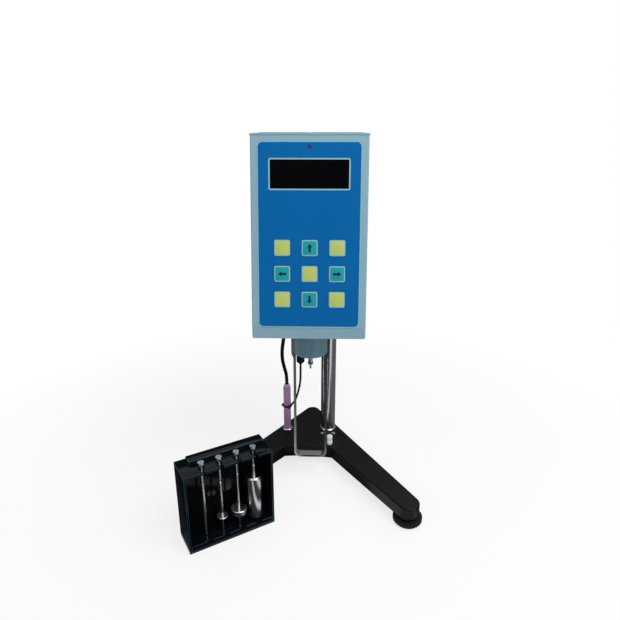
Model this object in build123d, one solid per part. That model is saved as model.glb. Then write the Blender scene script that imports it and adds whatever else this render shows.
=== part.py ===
from build123d import *
from math import acos, atan2, cos, degrees, pi, radians, sin, sqrt, tan
import os

# Rotational viscometer on a rack-and-pinion stand, with its spindle case beside it.
# Lengths are millimetres. While the pieces are made, the measuring axis is X = Y = 0
# and the bench is Z = 0, with -Y towards the operator.

# ---- clearances ----
slide_gap = 0.3        # between curved faces of pieces that move apart
running_gap = 0.05     # radial, round a turning or sliding shaft
seat_gap = 0.1         # round a piece that is seated and stays

# ---- base casting ----
base_thickness = 16.0
base_turn = -2.3       # degrees, the casting's centre line against the head
hub_left = 25.6        # column's axis to the casting's hub, to the left
lobe_radius = 10.5
lobe_reach = 53.4      # hub to the middle of the rear lobe
foot_spread = 127.4    # centre line to a front foot
foot_reach = 152.8     # hub to the front feet, forwards
arm_end_radius = 13.6
notch_reach = 48.0     # hub to the corners of the front notch
notch_half_width = 33.5
notch_rise = 3.0
notch_tip = 1.0
base_rim = 5.0         # wall left round the hollow underside
base_hollow = 9.0
base_edge_radius = 2.0

# ---- levelling feet ----
foot_radius = 17.6
foot_disc_height = 6.4
foot_gap = 2.6         # knurled disc to the underside of the casting
foot_knurls = 30
foot_knurl_depth = 0.7
foot_stud_radius = 4.0
foot_stud_length = 15.0
foot_pin_radius = 3.0
foot_pin_length = 1.8
foot_pad_radius = 15.0
foot_pad_height = 2.5
rear_foot_inset = 9.0  # rear foot, in from the lobe's middle

# ---- column ----
column_x = 23.7
column_y = 75.6
column_radius = 10.35
column_top = 430.0
column_spigot_radius = 8.0
column_spigot_depth = 9.0
column_ring_radius = 11.9
column_ring_height = 5.0
column_hole_z = 139.7  # cross hole in the column's front, for a tommy bar
column_hole_radius = 1.7
column_hole_depth = 5.0
column_screw_offset_x = 8.25
column_screw_offset_y = 13.5
column_screw_radius = 2.6
column_screw_height = 2.0
column_screw_socket = 1.2
screw_core_radius = 1.7
screw_length = 8.0
screw_head_height = 1.8

# ---- rack and pinion ----
rack_module = 1.0
rack_width = 6.0
rack_depth = 5.0
rack_recess = 0.6      # tooth tips below the column's surface, with the relief
rack_foot = 150.0      # lowest tooth zone on the column
rack_end = 10.0        # column's top to the highest tooth zone
pinion_teeth = 14
pressure_angle = 20.0
tooth_backlash = 0.25
tooth_relief = 0.2     # taken off each tooth's tip
tooth_root = 1.25      # root depth in modules
flank_steps = 5

# ---- clamp block and its knobs ----
rod_height = 330.0     # axis of the head's mounting rod
block_half_height = 22.0
block_left_wall = 6.0  # past the rod, on the side of its locking screw
block_side_wall = 6.95
block_front_wall = 5.25
block_back_wall = 12.65  # from the pinion's axis
block_edge_radius = 3.0
rod_radius = 8.0
rod_end_length = 6.0   # rod's end behind the block
rod_flange_radius = 17.0
rod_flange_thickness = 4.0
lift_knob_radius = 17.0
lift_knob_length = 20.0
lift_knob_gap = 3.0
lift_knurls = 24
pinion_shaft_radius = 4.0
rod_knob_radius = 12.0
rod_knob_length = 16.0
rod_knob_lobes = 7
rod_screw_radius = 4.0
rod_knob_gap = 3.0
rod_screw_offset = 5.6  # locking screw's axis in front of the column's axis
bush_thickness = 4.0

# ---- head housing ----
head_width = 122.0
head_bottom = 234.9
head_top = 444.5
band_height = 13.9
front_bottom_y = -76.3
front_top_y = -39.8
head_back = 46.0
wall = 2.5
split_y = 8.0
split_gap = 0.3
brim = 0.7
brim_height = 1.2
cover_screw_inset = 9.0
cover_screw_rise = 20.0
cover_screw_drop = 12.0
housing_edge_radius = 1.6
plate_thickness = 5.0

# ---- front panel, in the plane of the slanted face ----
panel_side_margin = 8.2
panel_top_margin = 8.34
panel_bottom_margin = 0.34
panel_thickness = 0.6
panel_corner = 4.5
window_width = 81.2
window_height = 29.4
window_drop = 40.14    # face's upper edge to the window's middle
window_corner = 1.0
led_drop = 12.64       # face's upper edge to the lamp's middle
led_radius = 1.6
led_proud = 0.5
key_size = 16.8
key_corner = 1.8
key_pitch_x = 28.9
key_pitch_y = 27.2
key_column_x = 0.7
key_rise = 56.54       # face's lower edge to the middle row of keys
key_thickness = 0.8
key_lift = 0.5         # underside of a key above the housing face
key_gap = 0.35
key_stem_radius = 3.0
board_depth = 7.0      # housing face to the front board
board_thickness = 1.6
dome_height = 1.8
dome_radius = 5.0
board_side_margin = 9.0
board_top_margin = 13.54
board_bottom_margin = 9.54
board_post_inset = 4.0
board_post_radius = 3.0

# ---- pivot cup and spindle guard ----
cup_radius = 21.5
cup_height = 50.2
cup_wall = 3.0
cup_edge_radius = 3.5
cup_flat_depth = 0.5
cup_mouth_radius = 5.0
guard_thickness = 2.8
guard_width = 10.6
guard_step = 2.5       # each leg's jog inwards below the cup
guard_floor = 37.6     # upper face of the guard's bottom run
guard_corner = 5.0
guard_jog_rise = 1.3   # jog's upper end above the cup's bottom
guard_jog_height = 7.0
guard_jog_lag = 0.6    # outer corner of the jog below the inner one
guard_drop = 8.9       # head's underside to the guard's upper end
guard_hole_radius = 1.7
guard_screw_radius = 2.7
guard_screw_drops = (16.9, 28.9)

# ---- measuring train ----
shaft_radius = 2.5
shaft_rise = 36.1      # heights in the train are above the head's underside
coupling_radius = 3.3
coupling_drop = 65.9   # head's underside to the coupling nut's lower face
coupling_height = 7.5
nut_share = 0.45       # of the coupling's height
thread_radius = 1.2
thread_length = 6.5
jewel_radius = 7.0
jewel_height = 3.5
disc_radius = 20.0
disc_thickness = 1.0
disc_slots = 24
torque_disc_rise = 21.1
drive_disc_rise = 42.1
spring_rise = 29.1
spring_height = 2.5
spring_strip = 0.6
spring_inner = 4.6
spring_pitch = 1.7
spring_half_turns = 7
drive_shaft_radius = 4.0
drive_shaft_rise = 33.1
drive_shaft_length = 50.0
gear_module = 0.8
gear_teeth = 48
motor_teeth = 16
gear_thickness = 5.0
gear_rise = 60.1
gear_backlash = 0.16
motor_side = 42.0
motor_height = 38.0
motor_shaft_radius = 2.5
chassis_rise = 53.1
chassis_gap = 20.0     # between the same faces of its two plates
chassis_thickness = 3.0
chassis_side_margin = 11.0
chassis_post_radius = 4.0

# ---- connectors, boards and small parts in the head ----
gland_x = -32.2
gland_y = 27.0
gland_radius = 6.0
gland_drop = 10.0
gland_core_radius = 4.0
plug_x = -12.3
plug_y = -5.0
plug_radius = 5.0
plug_drop = 13.5
plug_tail_radius = 2.6
plug_tail_height = 2.0
inlet_x = -28.0
inlet_rise = 27.1
inlet_width = 30.0
inlet_height = 23.0
inlet_depth = 20.0
inlet_flange_rim = 3.0
inlet_flange_thickness = 2.0
socket_width = 25.0
socket_height = 17.0
socket_depth = 15.0
rocker_rise = 28.0     # rocker's axis above the socket's middle
rocker_width = 19.0
rocker_height = 13.0
rocker_tilt = 8.0
board_standoff = 5.0
main_board_margin = 9.0
main_board_below_rod = 25.0
main_board_drop = 24.5
# blocks on the main board: left edge, lower edge above the rod, width, height, depth
rod_blocks = ((-46, 22, 34, 30, 14), (-4, 20, 20, 20, 4), (22, 26, 26, 18, 9))
top_block = (-40, -30, 50, 14, 8)  # the same, its lower edge from the board's top
rocker_well = 10.0
rocker_pivot_depth = 4.0
rocker_pin_radius = 1.2
level_radius = 8.0
level_y = 26.0

# ---- leads and temperature probe ----
lead_diameter = 4.8
thin_lead_diameter = 2.6
probe_left = 59.6      # column's axis to the probe's, to the left
probe_radius = 5.25
probe_top = 101.0
probe_cap_radius = 4.3
probe_cap_height = 4.0
probe_cap_bore_depth = 3.0
socket_ring_radius = 7.6
socket_ring_height = 2.0
socket_floor = 0.6
clip_z = 66.7
clip_radius = 7.2
clip_height = 2.2
lug_reach = 1.2
boss_root = 7.0        # probe's axis to the root of the band's boss
boss_reach = 5.5       # from its root to the face where the thin lead leaves it
boss_turn = -60.0      # degrees, the boss's direction from +X
boss_tilt = 45.0       # degrees, its rise
boss_radius = 2.2
post_right = 2.4       # post's axis from the column's
post_forward = 40.6
post_radius = 3.9
post_lobe_height = 7.4

# ---- spindle case ----
case_x = -130.4        # front left foot corner
case_y = -143.3
case_turn = 31.5       # degrees
case_width = 105.0
case_depth = 35.5
case_height = 101.0
case_wall = 2.5
case_floor = 9.0
shelf_thickness = 3.0
ledge_left = 12.5
ledge_right = 2.0
ledge_front = 20.0
ledge_back = 2.5
ledge_height = 4.5
spindle_first = 23.6
spindle_pitch = 20.5
spindle_depth = 11.8
stem_radius = 1.6
slot_gap = 0.35
spindle_rest_gap = 0.3
spindle_head_radius = 3.9
spindle_head_height = 3.4
spindle_top = 107.0
cylinder_radius = 9.42
cylinder_length = 53.0
cylinder_cone = 3.5
cylinder_top = 66.0
large_disc_radius = 9.36
large_disc_height = 6.86
large_disc_z = 26.5
small_disc_radius = 6.35
small_disc_height = 1.65
small_disc_z = 26.5
rod_spindle_radius = 2.1
rod_spindle_tip = 8.0
groove_half_width = 4.0  # grooves in the case's floor that guide the stems' ends
groove_depth = 0.6

# ---- worked out from the values above ----
foot_disc_bottom = foot_pad_height + slide_gap
foot_disc_top = foot_disc_bottom + foot_disc_height
base_bottom = foot_disc_top + foot_gap
base_top = base_bottom + base_thickness
hub_x = column_x - hub_left
hub_y = column_y
probe_x = column_x - probe_left
probe_y = column_y
post_x = column_x + post_right
post_y = column_y - post_forward
rack_head = column_top - rack_end
face_rise = head_top - head_bottom - band_height
face_lean = atan2(front_top_y - front_bottom_y, face_rise)
face_length = sqrt(face_rise ** 2 + (front_top_y - front_bottom_y) ** 2)
band_top = head_bottom + band_height
gear_distance = gear_module * (gear_teeth + motor_teeth) / 2
pinion_pitch_radius = rack_module * pinion_teeth / 2
rack_pitch_y = column_y + column_radius - rack_recess - rack_module
pinion_y = rack_pitch_y + pinion_pitch_radius
block_bottom = rod_height - block_half_height
block_top = rod_height + block_half_height
block_left = -rod_radius - block_left_wall
block_right = column_x + column_radius + block_side_wall
block_front = column_y - column_radius - block_front_wall
block_back = pinion_y + block_back_wall
rod_end = block_back + rod_end_length
rod_screw_y = column_y - rod_screw_offset
panel_width = head_width - 2 * panel_side_margin
panel_height = face_length - panel_top_margin - panel_bottom_margin
panel_centre = (panel_bottom_margin - panel_top_margin) / 2
window_centre = face_length / 2 - window_drop
led_centre = face_length / 2 - led_drop
key_row_centre = key_rise - face_length / 2
board_width = head_width - 2 * board_side_margin
board_height = face_length - board_top_margin - board_bottom_margin
board_centre = (board_bottom_margin - board_top_margin) / 2
cup_bottom = head_bottom - cup_height
cup_flat_x = cup_radius - cup_flat_depth
guard_half_gap = cup_flat_x - guard_step
guard_jog_top = cup_bottom + guard_jog_rise
guard_top = head_bottom - guard_drop
guard_screw_heights = [head_bottom - drop for drop in guard_screw_drops]
shaft_top = head_bottom + shaft_rise
coupling_bottom = head_bottom - coupling_drop
thread_bottom = coupling_bottom - thread_length
torque_disc_z = head_bottom + torque_disc_rise
drive_disc_z = head_bottom + drive_disc_rise
spring_z = head_bottom + spring_rise
drive_shaft_bottom = head_bottom + drive_shaft_rise
drive_shaft_top = drive_shaft_bottom + drive_shaft_length
gear_bottom = head_bottom + gear_rise
chassis_low = head_bottom + chassis_rise
chassis_high = chassis_low + chassis_gap
chassis_half_x = head_width / 2 - chassis_side_margin
chassis_half_y = head_back - inlet_depth
inlet_z = head_bottom + inlet_rise
main_board_half = head_width / 2 - main_board_margin
main_board_low = rod_height - main_board_below_rod
main_board_high = head_top - main_board_drop
key_columns = (-1, 0, 1)
key_rows = (1, 0, -1)
key_names = {1: "top", 0: "middle", -1: "bottom"}
key_sides = {-1: "left", 0: "centre", 1: "right"}

parts = {}


def keep(name, shape):
    parts[name] = shape


def slab(low, high):
    size = [b - a for a, b in zip(low, high)]
    middle = [(a + b) / 2 for a, b in zip(low, high)]
    return Pos(*middle) * Box(*size)


def rod_z(radius, low, high, x=0.0, y=0.0):
    return Pos(x, y, (low + high) / 2) * Cylinder(radius, high - low)


def rod_x(radius, low, high, y, z):
    return Pos((low + high) / 2, y, z) * Rot(0, 90, 0) * Cylinder(radius, high - low)


def rod_y(radius, low, high, x, z):
    return Pos(x, (low + high) / 2, z) * Rot(90, 0, 0) * Cylinder(radius, high - low)


def ring_z(outer, inner, low, high, x=0.0, y=0.0):
    return rod_z(outer, low, high, x, y) - rod_z(inner, low - 1, high + 1, x, y)


def joined(shapes):
    whole = shapes[0]
    for shape in shapes[1:]:
        whole = whole + shape
    return whole


def fluted(radius, height, count, depth):
    """Knob body along Z from the origin, with round flutes in its rim."""
    body = Pos(0, 0, height / 2) * Cylinder(radius, height)
    body = chamfer(body.edges().filter_by(GeomType.CIRCLE), depth)
    flute = Pos(0, 0, height / 2) * Cylinder(depth, height + 2)
    for i in range(count):
        angle = 2 * pi * i / count
        body -= Pos(radius * cos(angle), radius * sin(angle), 0) * flute
    return body


def on_base(x, y, z=0.0):
    """Place of a point that is given along the casting's own centre line."""
    return Pos(hub_x, hub_y, 0) * Rot(0, 0, base_turn) * Pos(x, y, z)


def on_face(x, up, out=0.0):
    """Place on the slanted front face, with Z pointing out of the face."""
    middle_y = (front_bottom_y + front_top_y) / 2
    middle_z = (band_top + head_top) / 2
    return Pos(0, middle_y, middle_z) * Rot(90 - degrees(face_lean), 0, 0) * Pos(x, up, out)


def face_plate(width, height, corner, low, high, x, up):
    sketch = RectangleRounded(width, height, corner)
    return on_face(x, up, low) * extrude(sketch, high - low)


# ---- base casting and levelling feet ----
def hull_of(*circles):
    """Face wrapped tightly round circles given as (x, y, radius)."""
    edges = []
    for x, y, radius in circles:
        edges += (Pos(x, y) * Circle(radius)).edges()
    return make_hull(edges)


def base_outline():
    lobe = (0, lobe_reach, lobe_radius)
    roots = [(side * notch_half_width, -notch_reach, notch_tip) for side in (-1, 1)]
    outline = hull_of(lobe, *roots)
    for side, root in zip((-1, 1), roots):
        end = (side * foot_spread, -foot_reach, arm_end_radius)
        outline += hull_of(lobe, end, root)
    notch_radius = (notch_half_width ** 2 + notch_rise ** 2) / (2 * notch_rise)
    notch_middle = -notch_reach - notch_tip + notch_rise - notch_radius
    notch = Pos(0, notch_middle) * Circle(notch_radius)
    notch &= Pos(0, -notch_reach) * Rectangle(2 * notch_half_width, 4 * notch_rise)
    return outline - notch


def foot_places():
    rear = lobe_reach - rear_foot_inset
    return {
        "right": (foot_spread, -foot_reach),
        "left": (-foot_spread, -foot_reach),
        "rear": (0.0, rear),
    }


def make_base():
    outline = base_outline()
    body = extrude(outline, base_thickness)
    body = fillet(body.edges().group_by(Axis.Z)[-1], base_edge_radius)
    hollow = extrude(offset(outline, -base_rim), base_hollow)
    stud_hole = foot_stud_radius + running_gap
    hole_depth = foot_disc_top + foot_stud_length + 1 - base_bottom
    for x, y in foot_places().values():
        hollow -= rod_z(foot_stud_radius + base_rim, -1, base_hollow + 1, x, y)
        body -= rod_z(stud_hole, -1, hole_depth, x, y)
    body = on_base(0, 0, base_bottom) * (body - hollow)
    spigot_floor = base_top - column_spigot_depth
    boss = column_spigot_radius + base_rim
    body += rod_z(boss, spigot_floor - 3, base_top - base_edge_radius, column_x, column_y)
    body -= rod_z(column_spigot_radius + seat_gap, spigot_floor, base_top + 1, column_x, column_y)
    for x, y in column_screw_places():
        body -= rod_z(screw_core_radius, base_top - screw_length, base_top + 1, x, y)
    keep("base_casting", body)


def make_feet():
    for side, (x, y) in foot_places().items():
        disc = fluted(foot_radius, foot_disc_height, foot_knurls, foot_knurl_depth)
        stud = rod_z(foot_stud_radius, foot_disc_height, foot_disc_height + foot_stud_length)
        pin = rod_z(foot_pin_radius, -foot_pin_length, 0)
        keep("levelling_foot_" + side, on_base(x, y, foot_disc_bottom) * (disc + stud + pin))
        pad = rod_z(foot_pad_radius, 0, foot_pad_height)
        pad = chamfer(pad.edges().group_by(Axis.Z)[0], 0.5)
        socket = foot_disc_bottom - foot_pin_length - slide_gap
        pad -= rod_z(foot_pin_radius + running_gap, socket, foot_pad_height + 1)
        keep("foot_pad_" + side, on_base(x, y, 0) * pad)


# ---- column, rack and the fittings on the base ----
def column_screw_places():
    for dx in (-1, 1):
        for dy in (-1, 1):
            yield column_x + dx * column_screw_offset_x, column_y + dy * column_screw_offset_y


def rack_teeth_heights():
    pitch = pi * rack_module
    lowest = -int((rod_height - rack_foot) / pitch)
    highest = int((rack_head - rod_height) / pitch)
    return [rod_height + i * pitch for i in range(lowest, highest + 1)]


def make_column():
    spigot_floor = base_top - column_spigot_depth
    body = rod_z(column_radius, base_top, column_top, column_x, column_y)
    body = chamfer(body.edges().group_by(Axis.Z)[-1], 1.5)
    body += rod_z(column_spigot_radius, spigot_floor, base_top, column_x, column_y)
    heights = rack_teeth_heights()
    half_pitch = pi * rack_module / 2
    rack_low = heights[0] - half_pitch
    rack_high = heights[-1] + half_pitch
    slot_y = column_y + column_radius - rack_depth
    half = rack_width / 2 + seat_gap
    back = column_y + column_radius + 1
    body -= slab((column_x - half, slot_y, rack_low - seat_gap),
                 (column_x + half, back, rack_high + seat_gap))
    front = column_y - column_radius
    body -= rod_y(column_hole_radius, front - 1, front + column_hole_depth, column_x, column_hole_z)
    ring = ring_z(column_ring_radius, column_radius - 1, base_top, base_top + column_ring_height,
                  column_x, column_y)
    rim = ring.edges().group_by(Axis.Z)[-1].filter_by(lambda e: e.length > 2 * pi * column_radius)
    body += chamfer(rim, 0.6)
    keep("column", body)

    root_y = rack_pitch_y - tooth_root * rack_module
    tip_y = rack_pitch_y + rack_module - tooth_relief
    slope = tan(radians(pressure_angle))
    half_tooth = pi * rack_module / 4 - tooth_backlash / 4
    outline = [(slot_y, rack_low), (root_y, rack_low)]
    for z in heights:
        root_half = half_tooth + slope * (rack_pitch_y - root_y)
        tip_half = half_tooth - slope * (tip_y - rack_pitch_y)
        outline += [(root_y, z - root_half), (tip_y, z - tip_half)]
        outline += [(tip_y, z + tip_half), (root_y, z + root_half)]
    outline += [(root_y, rack_high), (slot_y, rack_high)]
    face = make_face(Polyline(*[(0, y, z) for y, z in outline], close=True))
    strip = Pos(column_x, 0, 0) * extrude(face, rack_width / 2, dir=(1, 0, 0), both=True)
    keep("column_rack", strip & rod_z(column_radius, base_top, column_top, column_x, column_y))

    screws = []
    for x, y in column_screw_places():
        head = rod_z(column_screw_radius, base_top, base_top + column_screw_height, x, y)
        head -= rod_z(column_screw_socket, base_top + 0.8, base_top + column_screw_height + 1, x, y)
        shank = rod_z(screw_core_radius - running_gap, base_top - screw_length + 0.5, base_top, x, y)
        screws.append(head + shank)
    keep("column_screws", joined(screws))


def make_post():
    lobes = []
    for i in range(2):
        low = base_top + i * post_lobe_height
        lobe = rod_z(post_radius, low, low + post_lobe_height, post_x, post_y)
        lobes.append(fillet(lobe.edges(), post_lobe_height * 0.35))
    neck = rod_z(post_radius * 0.72, base_top, base_top + 2 * post_lobe_height - 0.5, post_x, post_y)
    keep("nylon_post", lobes[0] + lobes[1] + neck)


# ---- temperature probe on the base ----
def boss_way():
    turn = radians(boss_turn)
    tilt = radians(boss_tilt)
    return (cos(turn) * cos(tilt), sin(turn) * cos(tilt), sin(tilt))


def boss_point(reach):
    turn = radians(boss_turn)
    x, y, z = boss_way()
    root = (probe_x + boss_root * cos(turn), probe_y + boss_root * sin(turn))
    return (root[0] + reach * x, root[1] + reach * y, clip_z + reach * z)


def make_probe():
    ring_top = base_top + socket_ring_height
    bore = probe_radius + seat_gap
    ring = rod_z(socket_ring_radius, base_top, ring_top, probe_x, probe_y)
    ring = chamfer(ring.edges().group_by(Axis.Z)[-1], 0.7)
    ring -= rod_z(bore, base_top + socket_floor, ring_top + 1, probe_x, probe_y)
    keep("probe_socket", ring)

    sleeve_low = base_top + socket_floor
    sleeve_high = probe_top - probe_cap_height
    sleeve = rod_z(probe_radius, sleeve_low, sleeve_high, probe_x, probe_y)
    sleeve = chamfer(sleeve.edges().group_by(Axis.Z)[0], 0.6)
    keep("probe_sleeve", sleeve)

    cap = rod_z(probe_cap_radius, sleeve_high, probe_top, probe_x, probe_y)
    cap = fillet(cap.edges().group_by(Axis.Z)[-1], (probe_cap_radius - lead_diameter / 2) * 0.7)
    cap -= rod_z(lead_diameter / 2 + seat_gap, probe_top - probe_cap_bore_depth, probe_top + 1,
                 probe_x, probe_y)
    keep("probe_cap", cap)

    low = clip_z - clip_height / 2
    high = clip_z + clip_height / 2
    band = rod_z(clip_radius, low, high, probe_x, probe_y)
    lug = slab((probe_x - clip_radius - lug_reach, probe_y - 1.5, low + 0.3),
               (probe_x, probe_y + 1.5, high - 0.3))
    boss = Plane(origin=boss_point(0), z_dir=boss_way()) * rod_z(boss_radius, -boss_radius, boss_reach)
    band = band + lug + boss - rod_z(bore, low - boss_root, high + boss_root, probe_x, probe_y)
    keep("probe_band", band)


# ---- leads: points of the routes, in order ----
def lead_points():
    return [
        (gland_x, gland_y, head_bottom - gland_drop),
        (gland_x, gland_y, 209.0),
        (-36.2, 30.3, 188.5),
        (-39.2, 40.5, 168.0),
        (-39.9, 54.0, 148.0),
        (-38.2, 65.0, 131.0),
        (probe_x, probe_y, 114.5),
        (probe_x, probe_y, probe_top - probe_cap_bore_depth),
    ]


def thin_lead_points():
    return [
        (plug_x, plug_y, cup_bottom - plug_drop),
        (plug_x, plug_y, 158.0),
        (-12.9, -1.5, 143.5),
        (-15.3, 11.0, 127.8),
        (-18.2, 26.0, 110.8),
        (-21.3, 41.0, 96.0),
        (-24.0, 50.5, 86.9),
        boss_point(boss_reach + 10.0),
        boss_point(boss_reach),
    ]


def tube_along(points, diameter, label):
    """Straight runs joined by tangent arcs as large as the runs allow."""
    places = [Vector(*p) for p in points]
    runs = [b - a for a, b in zip(places, places[1:])]
    radii = []
    for before, after in zip(runs, runs[1:]):
        half_turn = radians(before.get_angle(after)) / 2
        radii.append(0.45 * min(before.length, after.length) / tan(half_turn))
    path = FilletPolyline(*places, radius=radii)
    section = Plane(origin=path @ 0, z_dir=path % 0) * Circle(diameter / 2)
    tube = sweep(section, path=path)
    print(label, "radii", [round(r, 1) for r in radii], "length", round(path.length, 1))
    expected = pi * diameter ** 2 / 4 * path.length
    print(label, "volume", round(tube.volume, 1), "expected", round(expected, 1))
    return tube


def make_leads():
    keep("probe_lead", tube_along(lead_points(), lead_diameter, "probe_lead"))
    keep("sensor_lead", tube_along(thin_lead_points(), thin_lead_diameter, "sensor_lead"))


# ---- gears ----
def gear_face(module, teeth, backlash, phase):
    """Involute spur gear outline; phase is the angle of one tooth's middle."""
    pitch_radius = module * teeth / 2
    base_radius = pitch_radius * cos(radians(pressure_angle))
    tip_radius = pitch_radius + module - tooth_relief * module
    root_radius = pitch_radius - tooth_root * module

    def spread(radius):
        roll = acos(min(1.0, base_radius / radius))
        return tan(roll) - roll

    half_at_pitch = pi / (2 * teeth) - backlash / (4 * pitch_radius)
    start = max(base_radius, root_radius)
    radii = [start + (tip_radius - start) * i / flank_steps for i in range(flank_steps + 1)]
    points = []
    for i in range(teeth):
        middle = phase + 2 * pi * i / teeth
        halves = [half_at_pitch + spread(pitch_radius) - spread(r) for r in radii]
        rising = list(zip(radii, halves))
        if root_radius < base_radius:
            rising.insert(0, (root_radius, halves[0]))
        points += [(r * cos(middle - h), r * sin(middle - h)) for r, h in rising]
        points += [(r * cos(middle + h), r * sin(middle + h)) for r, h in reversed(rising)]
    return make_face(Polyline(*points, close=True))


# ---- clamp block, mounting rod and knobs ----
def make_clamp():
    block = slab((block_left, block_front, block_bottom), (block_right, block_back, block_top))
    block = fillet(block.edges().filter_by(Axis.Z), block_edge_radius)
    block = chamfer(block.edges().group_by(Axis.Z)[-1] + block.edges().group_by(Axis.Z)[0], 0.8)
    block -= rod_z(column_radius + running_gap, block_bottom - 1, block_top + 1, column_x, column_y)
    block -= rod_y(rod_radius + running_gap, block_front - 1, block_back + 1, 0, rod_height)
    cavity = pinion_pitch_radius + rack_module + slide_gap
    inner = column_x - rack_width / 2 - 1.5
    block -= rod_x(cavity, inner, block_right - bush_thickness, pinion_y, rod_height)
    block -= rod_x(pinion_shaft_radius + running_gap, inner - 6, block_right + 1, pinion_y, rod_height)
    block -= rod_x(rod_screw_radius + running_gap, block_left - 1, 0, rod_screw_y, rod_height)
    keep("clamp_block", block)

    rod = rod_y(rod_radius, head_back - wall, rod_end, 0, rod_height)
    rod = chamfer(rod.edges().group_by(Axis.Y)[-1], 1.0)
    flange_back = head_back - wall
    rod += rod_y(rod_flange_radius, flange_back - rod_flange_thickness, flange_back, 0, rod_height)
    keep("mounting_rod", rod)

    inner_end = column_x - rack_width / 2 + 0.5
    outer_end = column_x + rack_width / 2 - 0.5
    teeth = gear_face(rack_module, pinion_teeth, tooth_backlash, pi / pinion_teeth)
    gear = extrude(teeth, outer_end - inner_end)
    gear = Pos(inner_end, pinion_y, rod_height) * Rot(0, 90, 0) * Rot(0, 0, 270) * gear
    knob_low = block_right + lift_knob_gap
    shaft = rod_x(pinion_shaft_radius, inner_end - 5, knob_low + 1, pinion_y, rod_height)
    knob = Pos(knob_low, pinion_y, rod_height) * Rot(0, 90, 0) * fluted(
        lift_knob_radius, lift_knob_length, lift_knurls, 1.2)
    keep("lift_knob", gear + shaft + knob)

    screw_end = -rod_radius - slide_gap
    screw_start = block_left - rod_knob_gap
    screw = rod_x(rod_screw_radius, screw_start - 1, screw_end, rod_screw_y, rod_height)
    grip = Pos(screw_start, rod_screw_y, rod_height) * Rot(0, -90, 0) * fluted(
        rod_knob_radius, rod_knob_length, rod_knob_lobes, 2.0)
    keep("rod_knob", grip + screw)


# ---- head housing ----
def side_profile(inset, floor_drop=0.0):
    """Head's outline seen from the side, moved inwards by a wall."""
    back = head_back - inset
    top = head_top - inset
    low = head_bottom - floor_drop
    front = front_bottom_y + inset
    shift = inset / cos(face_lean)
    slope = tan(face_lean)
    knee_z = band_top + (shift - inset) / slope if inset else band_top
    top_y = front_top_y + shift - inset * slope
    points = [(front, low), (front, knee_z), (top_y, top), (back, top), (back, low)]
    return make_face(Polyline(*[(0, y, z) for y, z in points], close=True))


def prism(face, half_width):
    return extrude(face, half_width, dir=(1, 0, 0), both=True)


def make_housing():
    half = head_width / 2
    outer = prism(side_profile(0), half)
    sides = outer.faces().filter_by(Axis.X)
    outer = fillet(sides.edges(), housing_edge_radius)
    shell = outer - prism(side_profile(wall, 5.0), half - wall)
    behind = slab((-half - 5, split_y, head_bottom - 5), (half + 5, head_back + 5, head_top + 5))
    ahead = slab((-half - 5, front_bottom_y - 5, head_bottom - 5),
                 (half + 5, split_y - split_gap, head_top + 5))
    front = shell & ahead
    lip = slab((-half - brim, front_top_y - brim, head_top - brim_height),
               (half + brim, split_y - split_gap, head_top))
    lip -= slab((-half + wall, front_top_y + 2 * wall, head_top - brim_height - 1),
                (half - wall, split_y + 1, head_top - brim_height / 2))
    front += lip
    front -= face_plate(window_width + 2 * seat_gap, window_height + 2 * seat_gap, window_corner,
                        -3 * wall, 1, 0, window_centre)
    front -= on_face(0, led_centre, 0) * Cylinder(led_radius + seat_gap, 4 * wall)
    for column in key_columns:
        for row in key_rows:
            place = on_face(key_column_x + column * key_pitch_x, key_row_centre + row * key_pitch_y)
            front -= place * Cylinder(key_stem_radius + key_gap, 4 * wall)
    keep("front_cover", front)

    rear = shell & behind
    rear -= rod_y(rod_radius + seat_gap, head_back - 2 * wall, head_back + 1, 0, rod_height)
    module_low = inlet_z - inlet_height / 2 - 2
    module_high = inlet_z + rocker_rise + rocker_height / 2 + 2
    rear -= slab((inlet_x - inlet_width / 2 - seat_gap, head_back - 2 * wall, module_low - seat_gap),
                 (inlet_x + inlet_width / 2 + seat_gap, head_back + 1, module_high + seat_gap))
    rear -= rod_z(level_radius + seat_gap, head_top - 2 * wall, head_top + 1, 0, level_y)
    for x, z in cover_screw_places():
        rear -= rod_y(screw_core_radius, head_back - 2 * wall, head_back + 1, x, z)
    keep("rear_cover", rear)

    gap = seat_gap
    plate = slab((-half + wall + gap, front_bottom_y + wall + gap, head_bottom),
                 (half - wall - gap, head_back - wall - gap, head_bottom + plate_thickness))
    plate -= rod_z(drive_shaft_radius + 5, head_bottom - 1, head_bottom + plate_thickness + 1)
    plate -= rod_z(gland_core_radius + seat_gap, head_bottom - 1, head_bottom + plate_thickness + 1,
                   gland_x, gland_y)
    keep("bottom_plate", plate)


def cover_screw_places():
    reach = head_width / 2 - cover_screw_inset
    heights = (head_bottom + cover_screw_rise, head_top - cover_screw_drop)
    return [(x, z) for x in (-reach, reach) for z in heights]


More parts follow.
